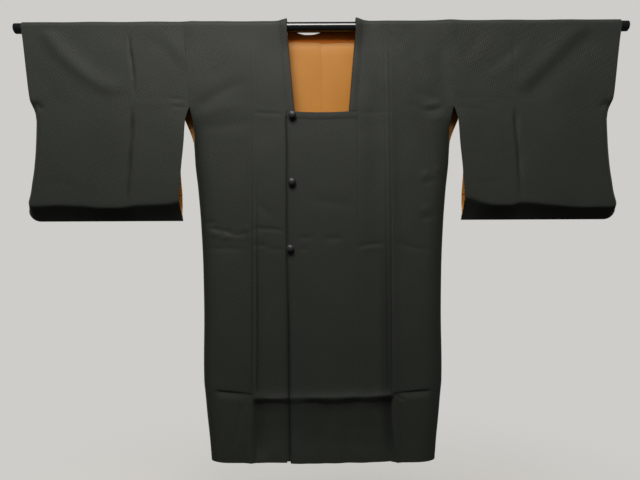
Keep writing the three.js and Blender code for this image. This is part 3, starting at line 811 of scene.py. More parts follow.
def satin(name, low, high, rough=0.5, sheen=0.06, shine=0.25):
    """Golden lining satin: smooth, with faint upright streaks."""
    m, tree, shader = material(name)
    k = Nodes(tree)
    uv, u, v = uv_parts(k)
    streak = k.noise(k.stretch(uv, (1.0, 0.05, 1.0)), 260.0, 3.0, 0.55)
    patch = k.noise(uv, 14.0, 2.0)
    turn = 2 * math.pi * 1000
    twill = k.math("SINE", k.math("ADD", k.math("MULTIPLY", u, turn / 0.55), k.math("MULTIPLY", v, turn / 0.8)))
    tone = k.math("ADD", k.math("MULTIPLY", streak, 0.55), k.math("MULTIPLY", patch, 0.45), clamp=True)
    k.put(shader.inputs["Base Color"], k.colour(tone, low, high))
    k.put(shader.inputs["Normal"], k.bump(k.math("ADD", twill, k.math("MULTIPLY", streak, 1.5)), 0.4, 0.00005))
    k.put(shader.inputs["Roughness"], k.math("MULTIPLY_ADD", streak, 0.16, rough - 0.08))
    shader.inputs["Specular IOR Level"].default_value = shine
    shader.inputs["Sheen Weight"].default_value = sheen
    shader.inputs["Sheen Roughness"].default_value = 0.35
    shader.inputs["Sheen Tint"].default_value = (1.0, 0.66, 0.3, 1)
    return m


COAT = silk("coat_silk", (0.0102, 0.0118, 0.0086), (0.0250, 0.0275, 0.0215))
COAT_BAND = silk("coat_silk_band", (0.0105, 0.0120, 0.0090), (0.0235, 0.0255, 0.0200), relief=0.7)
FACING = silk("coat_facing", (0.009, 0.0095, 0.008), (0.017, 0.018, 0.015), ribs=False)
GOLD = satin("lining_satin", (0.375, 0.146, 0.0165), (0.465, 0.192, 0.0275))
# the back band's inside: a redder copy of the lining colour, painted shade and bounced gold light under the rod
BROWN = satin("collar_inside", (0.46, 0.100, 0.004), (0.58, 0.140, 0.008), rough=0.6, sheen=0.0, shine=0.1)
# the neck's edge line: a darkened copy of the lining colour, painted shade
NECK_EDGE = satin("collar_edge", (0.034, 0.0125, 0.006), (0.055, 0.019, 0.008), rough=0.6, sheen=0.0, shine=0.1)


def button_material():
    m, tree, shader = material("covered_button")
    k = Nodes(tree)
    uv, u, v = uv_parts(k)
    turn = 2 * math.pi * 1000
    twill = k.math("SINE", k.math("ADD", k.math("MULTIPLY", u, turn / 0.8), k.math("MULTIPLY", v, turn / 0.9)))
    fine = k.noise(uv, 700.0, 2.0)
    k.put(shader.inputs["Base Color"], k.colour(fine, (0.012, 0.013, 0.012), (0.021, 0.0225, 0.021)))
    k.put(shader.inputs["Roughness"], k.math("MULTIPLY_ADD", fine, 0.10, 0.40))
    k.put(shader.inputs["Normal"], k.bump(k.math("ADD", twill, fine), 0.35, 0.00005))
    shader.inputs["Specular IOR Level"].default_value = 0.5
    shader.inputs["Sheen Weight"].default_value = 0.03
    return m


def rod_material():
    m, tree, shader = material("black_enamel")
    k = Nodes(tree)
    place = k.node("ShaderNodeTexCoord").outputs["Object"]
    long = k.noise(k.stretch(place, (0.06, 1.0, 1.0)), 420.0, 3.0, 0.6)
    dust = k.noise(place, 900.0, 2.0)
    k.put(shader.inputs["Base Color"], k.colour(dust, (0.0045, 0.0052, 0.0055), (0.010, 0.0115, 0.012)))
    k.put(shader.inputs["Roughness"], k.math("MULTIPLY_ADD", long, 0.10, 0.15))
    k.put(shader.inputs["Normal"], k.bump(long, 0.25, 0.00006))
    shader.inputs["Coat Weight"].default_value = 0.3
    shader.inputs["Coat Roughness"].default_value = 0.13
    return m


BUTTON = button_material()
ENAMEL = rod_material()


def finish_piece(obj, node, materials):
    for m in materials:
        obj.data.materials.append(m)
    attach(obj, "root")
    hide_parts(node)
    return obj


TURNED_IN = 9.0  # width of the black allowance inside along the seams
HEM_FACING = 22.0  # and of the cloth turned up inside the hem


# ------------------------------------------------------------------ body
BODY_COLUMNS = (
    [("f1", t) for t in np.linspace(0, 1, 16)]
    + [("x", x) for x in spaced((130, 134, 2.0), (134, 160, 0.87), (160, 164, 2.0))[1:]]
    + [("f2", t) for t in np.linspace(0, 1, 20)[1:]]
    + [("in", i) for i in (35, 32, 29, 26, 23, 20, 17.5, 15, 12.5, 10, 8, 6.3, 4.8, 3.6, 2.6, 1.9)]
)


def body_columns(inner, edge):
    out = []
    first = inner + RIM[-1] + 0.7
    for kind, value in BODY_COLUMNS:
        if kind == "f1":
            out.append(first + (130 - first) * value ** 1.35)
        elif kind == "x":
            out.append(value)
        elif kind == "f2":
            out.append(164 + (edge - TURN - 164) * value)
        else:
            out.append(edge - value)
    return np.array([inner + r for r in RIM] + out + [edge - r for r in reversed(RIM)])


def body(name, sign):
    side = "left" if sign > 0 else "right"
    front_rows = with_rims(
        spaced((HEM, -838, 4.6), (-838, -782, 1.35), (-782, -500, 5.2), (-500, -430, 3.6), (-430, -212, 4.8), (-212, -170, 2.6), (-170, -12, 4.2), (-12, 0, 2.5)),
        last=False,
    )
    rows, tall = [], None
    for z in front_rows:
        x = sign * body_columns(float(front_inner(z)), float(EDGES("edge", z)))
        lap = PANEL["rise"] * (1 - smooth(85, 125, x)) * (smooth(-130, -190, z) if sign > 0 else 0.0)
        zz = np.full_like(x, z)
        rows.append(np.stack([x, body_y(x, zz, True, lap), zz], -1))
    x = sign * body_columns(float(front_inner(0.0)), float(EDGES("edge", 0.0)))
    steps = 22
    for i in range(1, steps):
        a = math.pi * i / steps
        radius = LOOP + lift(x)
        rows.append(np.stack([x, -radius * math.cos(a), radius * math.sin(a)], -1))
    neck = BACK_NECK["low"] - SEAM
    back_rows = spaced((0, -12, 3), (-12, neck, 4), (neck, neck - 3, 3), (neck - 3, -170, 5.0), (-170, -212, 2.6), (-212, -310, 4.4), (-310, -430, 6.5), (-430, -505, 4.5), (-505, -785, 7.5), (-785, -836, 1.9), (-836, HEM, 6.5))
    back_rows = with_rims(back_rows, first=False)
    for z in back_rows:
        inner = mix(float(front_inner(0.0)), 0.03, min(1.0, max(0.0, (neck - z) / 3.0)))
        x = sign * body_columns(inner, float(BACK_SIDE("edge", z)))
        zz = np.full_like(x, z)
        rows.append(np.stack([x, body_y(x, zz, False), zz], -1))
    P = np.array(rows)
    sewn_to_sleeve = (P[:, -1, 2] > ARMPIT).astype(float)

    def pick(Q):
        z, ax = Q[..., 2], np.abs(Q[..., 0])
        black = (z < HEM + HEM_FACING) | (ax - ax[:, :1] < TURNED_IN) | ((z > ARMPIT) & (ax[:, -1:] - ax < TURNED_IN))
        return np.where(black, 2, 1)

    x, z = P[..., 0], P[..., 2]
    front = (P[..., 1] < 0) & (np.arange(len(P))[:, None] < len(front_rows))
    # painted shade: on the front from front_shade, on the back darker towards its turned side edges
    painted_shade = np.where(front, front_shade(x, z, EDGES("edge", z)), 0.45 * np.exp(-((np.clip(BACK_SIDE("edge", z) - np.abs(x), 0, None) / 13.0) ** 1.6)) * BACK_SIDE("turn", z))
    obj = shell("cloth_" + name, P, CLOTH, sign, inner_material=pick, sewn=(1, sewn_to_sleeve, 0, 0), painted_shade=painted_shade)
    return finish_piece(obj, name, [COAT, GOLD, FACING])


def lining_back(name, sign):
    rows = with_rims(spaced((-29.4, -60, 3), (-60, -170, 6), (-170, -212, 3.4), (-212, -310, 5), (-310, -785, 9), (-785, -836, 2.6), (-836, HEM + 14, 8)))
    grid = []
    for z in rows:
        edge = float(BACK_SIDE("edge", z)) - 3.0
        x = np.concatenate([0.03 + np.array(RIM), np.array(spaced((2.0, 130, 4.2)))])
        x = np.concatenate([x, np.linspace(130, edge - RIM[-1] - 0.8, 30)[1:], edge - np.array(RIM[::-1])])
        # its top follows the lower edge of the band behind the neck
        low = BACK_NECK["low"] - BACK_NECK["drop"] * (1 - x / (NECK["top"] + BAND))
        top = np.minimum(low + 0.9, -28.3)
        zz = z + (top + 29.4) * smooth(-60, -32, z)
        x = sign * x
        grid.append(np.stack([x, body_y(x, zz, False), zz], -1))
    P = np.array(grid)[::-1]
    # rows now run upwards, so the outer side faces the back: the shell lies inside it, with a little slack
    ax, z = np.abs(P[..., 0]), P[..., 2]
    ease = 0.45 + 0.5 * bell(z + 42, 7) * smooth(100, 60, ax) + 0.3 * np.sin(ax / 13.0 + z / 160.0) * smooth(-45, -80, z)
    ease = ease * smooth(0, 10, ax) * smooth(0, 20, np.abs(BACK_SIDE("edge", z) - ax))
    inward = CLOTH / 2 + 0.5 + LINING / 2 + np.clip(ease, 0, None)
    P = P + grid_normals(P) * sign * inward[..., None]
    obj = shell("silk_" + name, P, LINING, sign, sewn=(1, 0, 0, 0))
    return finish_piece(obj, name, [GOLD])


# ------------------------------------------------------------------ overlap panels and collar
def overlap(name, x0, x1, top, hem, offset, free_edge, thickness, sewn):
    cols = with_rims(spaced((x0, x0 + 12, 1.3), (x0 + 12, x1 - 8, 3.8), (x1 - 8, x1, 1.6)))
    x = np.array(cols)
    low = with_rims(spaced((hem, -838, 4.6), (-838, -782, 1.3), (-782, -500, 5.2), (-500, -430, 3.6), (-430, -262, 4.8), (-262, -236, 3.4)), last=False)

    def across(z):
        """The columns, with the free edge following its line."""
        shift = float(LAP_EDGE("shift", z)) if free_edge else 0.0
        return x + shift * (x1 - x) / (x1 - x0)

    rows = [np.stack([across(z), front_depth(across(z), np.full_like(x, z)), np.full_like(x, z)], -1) for z in low]
    reach = np.array(with_rims(spaced((0.0, 1.0, 0.1)), first=False, last=False)[1:-1])
    line = top(x)
    top_x = across(-200.0)
    line = top(top_x)
    for t in reach:
        z = -236 + (line - 1.8 + 236) * t
        rows.append(np.stack([top_x, front_depth(top_x, z), z], -1))
    for r in reversed(RIM):
        z = line - r
        rows.append(np.stack([top_x, front_depth(top_x, z), z], -1))
    P = np.array(rows)
    if free_edge:
        # the free edge stands a little proud between the buttons and is pinned at them
        z = P[..., 2]
        between = 1 - 0.85 * (bell(z + 202, 26) + bell(z + 348, 24) + bell(z + 492, 26))
        lap = x0 + LAP_EDGE("shift", z)
        # its own surface keeps clear of the hollow under it
        hollow = 3.4 * bell(P[..., 0] - lap + 1.2, 2.7) * smooth(-196, -215, z) + 1.3 * bell(P[..., 0] - lap + 3, 9) * smooth(-480, -660, z)
        P[..., 1] -= hollow * mix(0.2, 1.0, smooth(-957, -936, z))
        P[..., 1] -= free_edge * bell(P[..., 0] - lap, 16) * (0.3 + 0.7 * np.clip(between, 0, 1)) * mix(0.5, 1.0, smooth(-958, -930, z))

    def pick(Q):
        x, z = Q[..., 0], Q[..., 2]
        return np.where((z < HEM + HEM_FACING) | (x - x[:, :1] < TURNED_IN) | (x1 - x < TURNED_IN), 2, 1)

    x, z = P[..., 0], P[..., 2]
    # painted shade, with a darker line along the top panel's free edge
    painted_shade = front_shade(x, z, 400.0)
    if free_edge:
        lap = x0 + LAP_EDGE("shift", z)
        painted_shade = np.clip(painted_shade * (x > lap + 4) + 0.34 * bell(x - lap, 4.0) * smooth(-190, -210, z), 0, 0.85)
    return shell("cloth_" + name, P, thickness, 1.0, offset=offset, inner_material=pick, sewn=sewn, painted_shade=painted_shade)


NECK_LINE = 1.7  # width of the brown line along the neck


def collar_side(name, sign):
    def inner(z):
        return mix(NECK["top"], NECK["bottom"], np.clip(z / NECK["z"], 0, 1))

    def across(z):
        a, b = float(inner(z)), float(front_inner(z)) - SEAM
        # the same number of columns on each row
        t = np.concatenate([RIM, np.linspace(NECK_LINE + 0.01, b - a - RIM[-1] - 0.5, 20), (b - a) - np.array(RIM[::-1])])
        return sign * (a + t)

    rows = []
    for z in with_rims(spaced((NECK["z"] + SEAM, -150, 3.6), (-150, -12, 4.4), (-12, 0, 2.5)), last=False):
        x = across(z)
        zz = np.full_like(x, z)
        lap = PANEL["rise"] * (1 - smooth(85, 125, x)) * (smooth(-130, -190, zz) if sign > 0 else 0.0)
        rows.append(np.stack([x, front_depth(x, zz) - lap, zz], -1))
    x = across(0.0)
    steps = 24
    for i in range(1, steps):
        a = math.pi * i / steps
        radius = LOOP + lift(x)
        rows.append(np.stack([x, -radius * math.cos(a), radius * math.sin(a)], -1))
    for z in with_rims(spaced((0, -27.5, 3.2)), first=False):
        zz = np.full_like(x, z)
        rows.append(np.stack([x, back_depth(x, zz), zz], -1))
    P = np.array(rows)
    # the band is a little fuller along its middle, and sinks towards its seam
    ax = np.abs(P[..., 0])
    a = inner(P[..., 2])
    full = 0.35 * bell(ax - a - 7, 5) - 0.25 * smooth(11, 16, ax - a)
    P = P + grid_normals(P) * sign * full[..., None]

    # the inside shows as a thin line along the neck's edge, in a darkened copy of the lining colour: painted shade
    obj = shell(
        "cloth_" + name, P, COLLAR, sign,
        inner_material=lambda Q: np.full(Q.shape[:2], 1),
        outer_material=lambda Q: np.where((np.abs(Q[..., 0]) - np.abs(Q[:, :1, 0]) < NECK_LINE) & (Q[..., 1] < 0) & (Q[..., 2] < -14), 2, 0),
        sewn=(0, 1, 0, 0),
    )
    return finish_piece(obj, name, [COAT_BAND, FACING, NECK_EDGE])


def collar_front(name):
    x = np.array(with_rims(spaced((PANEL["lap"], PANEL["seam"] - SEAM, 2.2))))
    t = np.array(with_rims(spaced((0.0, BAND, 1.2))))
    rows = []
    for d in t[::-1]:
        z = neck_line(x) - d
        y = front_depth(x, z) - 2.05 - 0.2 * bell(d - 8, 5) + 0.3 * smooth(9, BAND, d)
        # small cross puckers in the band
        y = y + 0.3 * bell(x - 68, 1.6) - 0.25 * bell(x - 71.5, 2) + 0.2 * bell(x + 20, 9) * bell(d - 6, 4) - 0.2 * bell(x - 24, 12) * bell(d - 9, 4)
        rows.append(np.stack([x, y, z], -1))
    obj = shell("cloth_" + name, np.array(rows), COLLAR - 0.4, 1.0, inner_material=lambda Q: np.full(Q.shape[:2], 1), sewn=(0, 1, 1, 0))
    return finish_piece(obj, name, [COAT_BAND, FACING])


def collar_back(name):
    x = np.array(with_rims(spaced((0.2 - NECK["top"], NECK["top"] - 0.2, 1.9))))
    n = 22
    rows = []
    for i in range(-len(RIM), n + len(RIM)):
        dip = np.abs((x - BACK_NECK["sag_at"]) / BACK_NECK["sag_reach"])
        top = BACK_NECK["top"] - BACK_NECK["sag"] * np.exp(-(dip ** 2.6)) - 0.5 * bell(x + 40, 9)
        low = BACK_NECK["low"] - BACK_NECK["drop"] * (1 - np.abs(x) / (NECK["top"] + BAND))
        if i < 0:
            z = low + RIM[i + len(RIM)]
        elif i >= n:
            z = top - RIM[::-1][i - n]
        else:
            t = (i + 0.5) / n
            z = mix(low + RIM[-1], top - RIM[-1], t)
        y = DEPTHS("back", z) + 1.4 + 3 * smooth(40, 76, np.abs(x)) * smooth(-40, -5, z)
        y = y + 0.5 * np.sin(x / 14.0 + 1.0) * smooth(-26, -10, z) * smooth(76, 60, np.abs(x))
        rows.append(np.stack([x, y, z], -1))
    P = np.array(rows)
    # its inner side faces the front, in the lining colour made redder: painted shade and bounced gold light under the
    # rod
    obj = shell("cloth_" + name, P, COLLAR - 0.6, -1.0, inner_material=lambda Q: np.full(Q.shape[:2], 1), sewn=(0, 0, 1, 0))
    return finish_piece(obj, name, [COAT_BAND, BROWN])


# ------------------------------------------------------------------ sleeves
SLEEVE_COLUMNS = (
    [("f1", t) for t in np.linspace(0, 1, 22)]
    + [("x", x) for x in spaced((398, 410, 3), (410, 436, 1.5), (436, 440, 2))[1:]]
    + [("f2", t) for t in np.linspace(0, 1, 40)[1:]]
    + [("in", i) for i in (18.5, 17, 15, 13, 11, 9, 7, 5.4, 4, 2.9, 2.0)]
)


def sleeve_bottom(inset):
    r = SLEEVE["corner"]
    i = np.clip(inset, 0, r)
    return SLEEVE["bottom"] + r - np.sqrt(np.clip(r * r - (r - i) ** 2, 0, None))


def sleeve_inner(z, front):
    """Inner edge: along the body down to the armpit, its own below."""
    body_edge = EDGES("edge", z) if front else BACK_SIDE("edge", z)
    return np.where(np.asarray(z) > ARMPIT, body_edge + SEAM, SLEEVE_EDGES("inner" if front else "back_inner", z))


def ridge(offset, height, width):
    return height * (bell(offset, width) - 0.35 * bell(np.abs(offset) - 2.1 * width, width * 0.8))


def sleeve_creases(x, z):
    """Where the sleeve's pressed crease runs, above and below the end of its mouth."""
    upper = np.where(x > 0, 430 - 4 * smooth(-20, -150, z), 424 - 12 * smooth(-20, -135, z))
    lower = np.where(x > 0, 422 + 8 * smooth(-185, -345, z), 415 + 8 * smooth(-185, -390, z))
    return upper, lower


def sleeve_relief(x, z, front):
    table = SLEEVE_FOLDS if front else SLEEVE_BACK_FOLDS
    h = folds(table, x, z) * smooth(0, -22, z) * smooth(-424, -392, z)
    ax = np.abs(x)
    if front:
        # the pressed crease: soft above the mouth's end, a sharper dark line below it
        upper, lower = sleeve_creases(x, z)
        wobble = 1 + 0.45 * np.sin(z / 9.0 + ax * 0.0) * np.sin(z / 23.0 + 1.0)
        strength = smooth(-14, -46, z) * smooth(-160, -125, z) * wobble
        h = h - np.where(x > 0, 0.4, 1.6) * bell(ax - upper - np.where(x > 0, -5.0, 0.0), np.where(x > 0, 4.6, 3.8)) * strength
        sharp = smooth(-180, -215, z) * smooth(-408, np.where(x > 0, -318, -350), z)
        flank = np.where(x > lower, 9.0, 3.6) * (x > 0) + np.where(ax > lower, 4.2, 5.2) * (x <= 0)
        h = h - 2.6 * bell(ax - lower, flank) * sharp * (0.75 + 0.25 * np.sin(z / 13.0)) * mix(1.0, 0.6, smooth(-300, -390, z))
    else:
        h = h + ridge(ax - 424, 1.0, 2.8) * smooth(-10, -50, z) * smooth(-408, -380, z)
    h = h + slack(x, z, 3.1 if front else 4.7) * smooth(0, -50, z) * smooth(-425, -400, z) * 0.9
    return h


def sleeve_y(x, z, bottom, inset, front):
    side = "left" if x.flat[0] > 0 else "right"
    opened = smooth(CUFF_END - 24, CUFF_END + 12, z)
    flat = SLEEVE_EDGES("front" if front else "back", z)
    rise = lift(x) * smooth(-60, 0, z)
    relief = sleeve_relief(x, z, front)
    flat = flat - rise - relief if front else flat + rise + relief
    height = FOLD_HEIGHT(side, np.abs(x)) if front else 34.0 + 3.0 * np.sin(x / 47.0)
    closing = soft_ramp((z - bottom) / height, 0.07)
    edge = mix(quarter(inset / SLEEVE["turn"]), 1.0, opened)
    gap = mix(1.0, 0.3, closing)
    seam = SLEEVE["seam_y"] + (-gap if front else gap)
    # the cloth bellies a little between the fold and the bottom seam
    belly = 1.2 * np.sin(np.pi * np.clip(closing, 0, 1)) * (1 if front else -1)
    return mix(seam, flat, edge * closing) + belly * edge


def sleeve_row(sign, z, front, columns=None):
    corner = -350.0
    inner = float(sleeve_inner(z, front))
    outer = float(SLEEVE_EDGES("outer", z))
    ax, ins = [], []
    for kind, value in SLEEVE_COLUMNS:
        if kind == "f1":
            a = inner + (398 - inner) * value
        elif kind == "x":
            a = value
        elif kind == "f2":
            a = 440 + (outer - SLEEVE["turn"] - 440) * value
        else:
            a = outer - value
        ax.append(a)
    ax = [inner + r for r in RIM] + [a for a in ax[1:] if a > inner + RIM[-1] + 0.5] + [outer - r for r in reversed(RIM)]
    ax = np.array(ax)
    inset = outer - ax
    bottom = sleeve_bottom(inset)
    at = np.where(z > corner, z, corner + (z - corner) * (bottom - corner) / (SLEEVE["bottom"] - corner))
    at = at + 0.0 * ax
    # columns near the outer edge keep their distance from it as they drop towards the corner
    shown = np.where(inset < SLEEVE["turn"] + 0.01, SLEEVE_EDGES("outer", at) - inset, ax)
    blend_in = smooth(60, SLEEVE["turn"], inset)
    shown = mix(ax, SLEEVE_EDGES("outer", at) - inset, blend_in)
    x = sign * shown
    return np.stack([x, sleeve_y(x, at, bottom, inset, front), at], -1)


def sleeve(name, sign):
    front_rows = with_rims(spaced((SLEEVE["bottom"], -378, 1.5), (-378, -212, 5.0), (-212, -160, 2.6), (-160, -12, 4.0), (-12, 0, 2.5)), last=False)
    rows = [sleeve_row(sign, z, True) for z in front_rows]
    x = sleeve_row(sign, 0.0, True)[:, 0]
    steps = 22
    for i in range(1, steps):
        a = math.pi * i / steps
        radius = LOOP + lift(x)
        rows.append(np.stack([x, -radius * math.cos(a), radius * math.sin(a)], -1))
    back_rows = with_rims(spaced((0, -12, 3), (-12, -160, 5.4), (-160, -212, 3.2), (-212, -378, 7), (-378, SLEEVE["bottom"], 2.4)), first=False)
    rows += [sleeve_row(sign, z, False) for z in back_rows]
    P = np.array(rows)
    sewn_to_body = (P[:, 0, 2] > ARMPIT).astype(float)

    def pick(Q):
        ax, z = np.abs(Q[..., 0]), Q[..., 2]
        mouth = (SLEEVE_EDGES("outer", z) - ax < 20) & (z > CUFF_END - 6)
        low = z < SLEEVE["bottom"] + 14
        seam = (ax - ax[:, :1] < TURNED_IN) & (z > ARMPIT)
        return np.where(mouth | low | seam, 2, 1)

    x, z = P[..., 0], P[..., 2]
    ax = np.abs(x)
    # painted shade along the sleeve's pressed creases
    upper, lower = sleeve_creases(x, z)
    sharp = smooth(-180, -215, z) * smooth(-408, np.where(x > 0, -318, -350), z)
    dark = np.where(x > 0, 0.40, 0.46) * bell(ax - lower, np.where(x > 0, 3.4, 4.2)) * sharp
    dark = dark + np.where(x > 0, 0.14, 0.26) * bell(ax - upper, 4.0) * smooth(-14, -46, z) * smooth(-160, -125, z)
    # painted shade in the dent at the end of the mouth
    dark = dark + 0.5 * bell(SLEEVE_EDGES("outer", z) - ax - 3, 10) * bell(z + 180, 8)
    dark = dark * (np.arange(len(P))[:, None] < len(front_rows))
    obj = shell("cloth_" + name, P, CLOTH, sign, inner_material=pick, sewn=(sewn_to_body, 0, 0, 0), painted_shade=np.clip(dark, 0, 0.8))
    return finish_piece(obj, name, [COAT, GOLD, FACING])


def lining_sleeve(name, sign):
    rows = with_rims(spaced((-372, -212, 8), (-212, -170, 4), (-170, -22, 7)))
    grid = []
    for z in rows:
        row = sleeve_row(sign, z, False)
        inner, outer = np.abs(row[0, 0]), 640.0 - 46
        x = np.concatenate([inner + np.array(RIM), np.linspace(inner + 2, outer - 2, 60), outer - np.array(RIM[::-1])])
        y = np.interp(x, np.abs(row[:, 0]), row[:, 1])
        grid.append(np.stack([sign * x, y, np.full_like(x, z)], -1))
    P = np.array(grid)
    inward = CLOTH / 2 + 0.5 + LINING / 2
    P = P + grid_normals(P) * sign * inward
    obj = shell("silk_" + name, P, LINING, sign)
    return finish_piece(obj, name, [GOLD])


# ------------------------------------------------------------------ buttons and rod
def lathe(name, profile, segments, place, forward=True):
    """A turned piece about its own Y, facing the front, from (radius, height) pairs, in millimetres."""
    cx, cy, cz = place
    points, faces, uvs = [], [], []
    inner_rows = profile[1:-1]
    run = np.concatenate([[0], np.cumsum([math.dist(a, b) for a, b in zip(profile[:-1], profile[1:])])])
    points.append((cx, cy - profile[0][1], cz))
    uvs.append((0.0, 0.0))
    for r_i, (r, h) in enumerate(inner_rows):
        for s in range(segments):
            a = 2 * math.pi * s / segments
            points.append((cx + r * math.cos(a), cy - h, cz + r * math.sin(a)))
            uvs.append((cx + r * math.cos(a), run[r_i + 1]))
    points.append((cx, cy - profile[-1][1], cz))
    uvs.append((cx, run[-1]))
    last = len(points) - 1
    for s in range(segments):
        n = (s + 1) % segments
        faces.append((0, 1 + s, 1 + n))
        for r_i in range(len(inner_rows) - 1):
            a, b = 1 + r_i * segments + s, 1 + r_i * segments + n
            faces.append((a, a + segments, b + segments, b))
        base = 1 + (len(inner_rows) - 1) * segments
        faces.append((base + s, last, base + n))
    mesh = bpy.data.meshes.new(name)
    mesh.from_pydata([tuple(c * MM for c in p) for p in points], [], faces)
    mesh.polygons.foreach_set("use_smooth", np.ones(len(mesh.polygons), bool))
    layer = mesh.uv_layers.new(name="cloth")
    for loop in mesh.loops:
        u, v = uvs[loop.vertex_index]
        layer.data[loop.index].uv = (u * MM, v * MM)
    mesh.update()
    obj = bpy.data.objects.new(name, mesh)
    bpy.context.scene.collection.objects.link(obj)
    return obj


def outward(obj):
    """Turns the faces out."""
    import bmesh
    bm = bmesh.new()
    bm.from_mesh(obj.data)
    bmesh.ops.recalc_face_normals(bm, faces=bm.faces)
    if bm.calc_volume(signed=True) < 0:
        bmesh.ops.reverse_faces(bm, faces=bm.faces)
    bm.to_mesh(obj.data)
    bm.free()


def ball_profile():
    """A covered ball on a short thread shank: the cloth is gathered to a rolled ring under the ball."""
    out = [(0.0, 0.0), (2.2, 0.0), (3.1, 0.15), (3.4, 0.5), (3.2, 1.0), (3.3, 1.35), (4.6, 1.5), (5.6, 1.75), (6.0, 2.1)]
    for i in range(0, 25):
        a = math.radians(-42 + (90 + 42) * i / 24)
        out.append((8.5 * math.cos(a) ** 0.94 if i < 24 else 0.0, 6.0 + (5.4 if a > 0 else 5.2) * math.sin(a)))
    return out


def button(name):
    low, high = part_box(name)
    place = ((low.x + high.x) / 2 / MM, high.y / MM, (low.z + high.z) / 2 / MM)
    obj = lathe("coat_" + name, ball_profile(), 48, place)
    # gathers round the back and a slightly uneven cover
    co = np.zeros(len(obj.data.vertices) * 3, np.float32)
    obj.data.vertices.foreach_get("co", co)
    co = co.reshape(-1, 3) / MM
    dx, dz, h = co[:, 0] - place[0], co[:, 2] - place[2], place[1] - co[:, 1]
    ang, rad = np.arctan2(dz, dx), np.hypot(dx, dz)
    gather = 0.12 * np.sin(ang * 14) * bell(h - 3.2, 1.5) + 0.08 * np.sin(ang * 3 + 1) * bell(h - 7, 3)
    k = 1 + gather / np.maximum(rad, 2.0)
    co[:, 0], co[:, 2] = place[0] + dx * k, place[2] + dz * k
    obj.data.vertices.foreach_set("co", (co * MM).astype(np.float32).ravel())
    outward(obj)
    return finish_piece(obj, name, [BUTTON])


def rod():
    seg = 96
    ends = [(0.0, -ROD_REACH), (ROD_RADIUS - 1.0, -ROD_REACH), (ROD_RADIUS - 0.45, -ROD_REACH + 0.12), (ROD_RADIUS - 0.12, -ROD_REACH + 0.45), (ROD_RADIUS, -ROD_REACH + 1.0)]
    mid = [(ROD_RADIUS, x) for x in np.linspace(-ROD_REACH + 40, ROD_REACH - 40, 34)]
    profile = ends + mid + [(r, -x) for r, x in reversed(ends)]
    points, faces = [(-ROD_REACH, 0, 0)], []
    rows = profile[1:-1]
    for r, x in rows:
        for s in range(seg):
            a = 2 * math.pi * s / seg
            points.append((x, r * math.cos(a), r * math.sin(a)))
    points.append((ROD_REACH, 0, 0))
    for s in range(seg):
        n = (s + 1) % seg
        faces.append((0, 1 + n, 1 + s))
        for i in range(len(rows) - 1):
            a, b = 1 + i * seg + s, 1 + i * seg + n
            faces.append((a, b, b + seg, a + seg))
        base = 1 + (len(rows) - 1) * seg
        faces.append((base + s, base + n, len(points) - 1))
    mesh = bpy.data.meshes.new("rod_tube")
    mesh.from_pydata([tuple(c * MM for c in p) for p in points], [], faces)
    mesh.polygons.foreach_set("use_smooth", np.ones(len(mesh.polygons), bool))
    obj = bpy.data.objects.new("rod_tube", mesh)
    bpy.context.scene.collection.objects.link(obj)
    outward(obj)
    return finish_piece(obj, "rod", [ENAMEL])


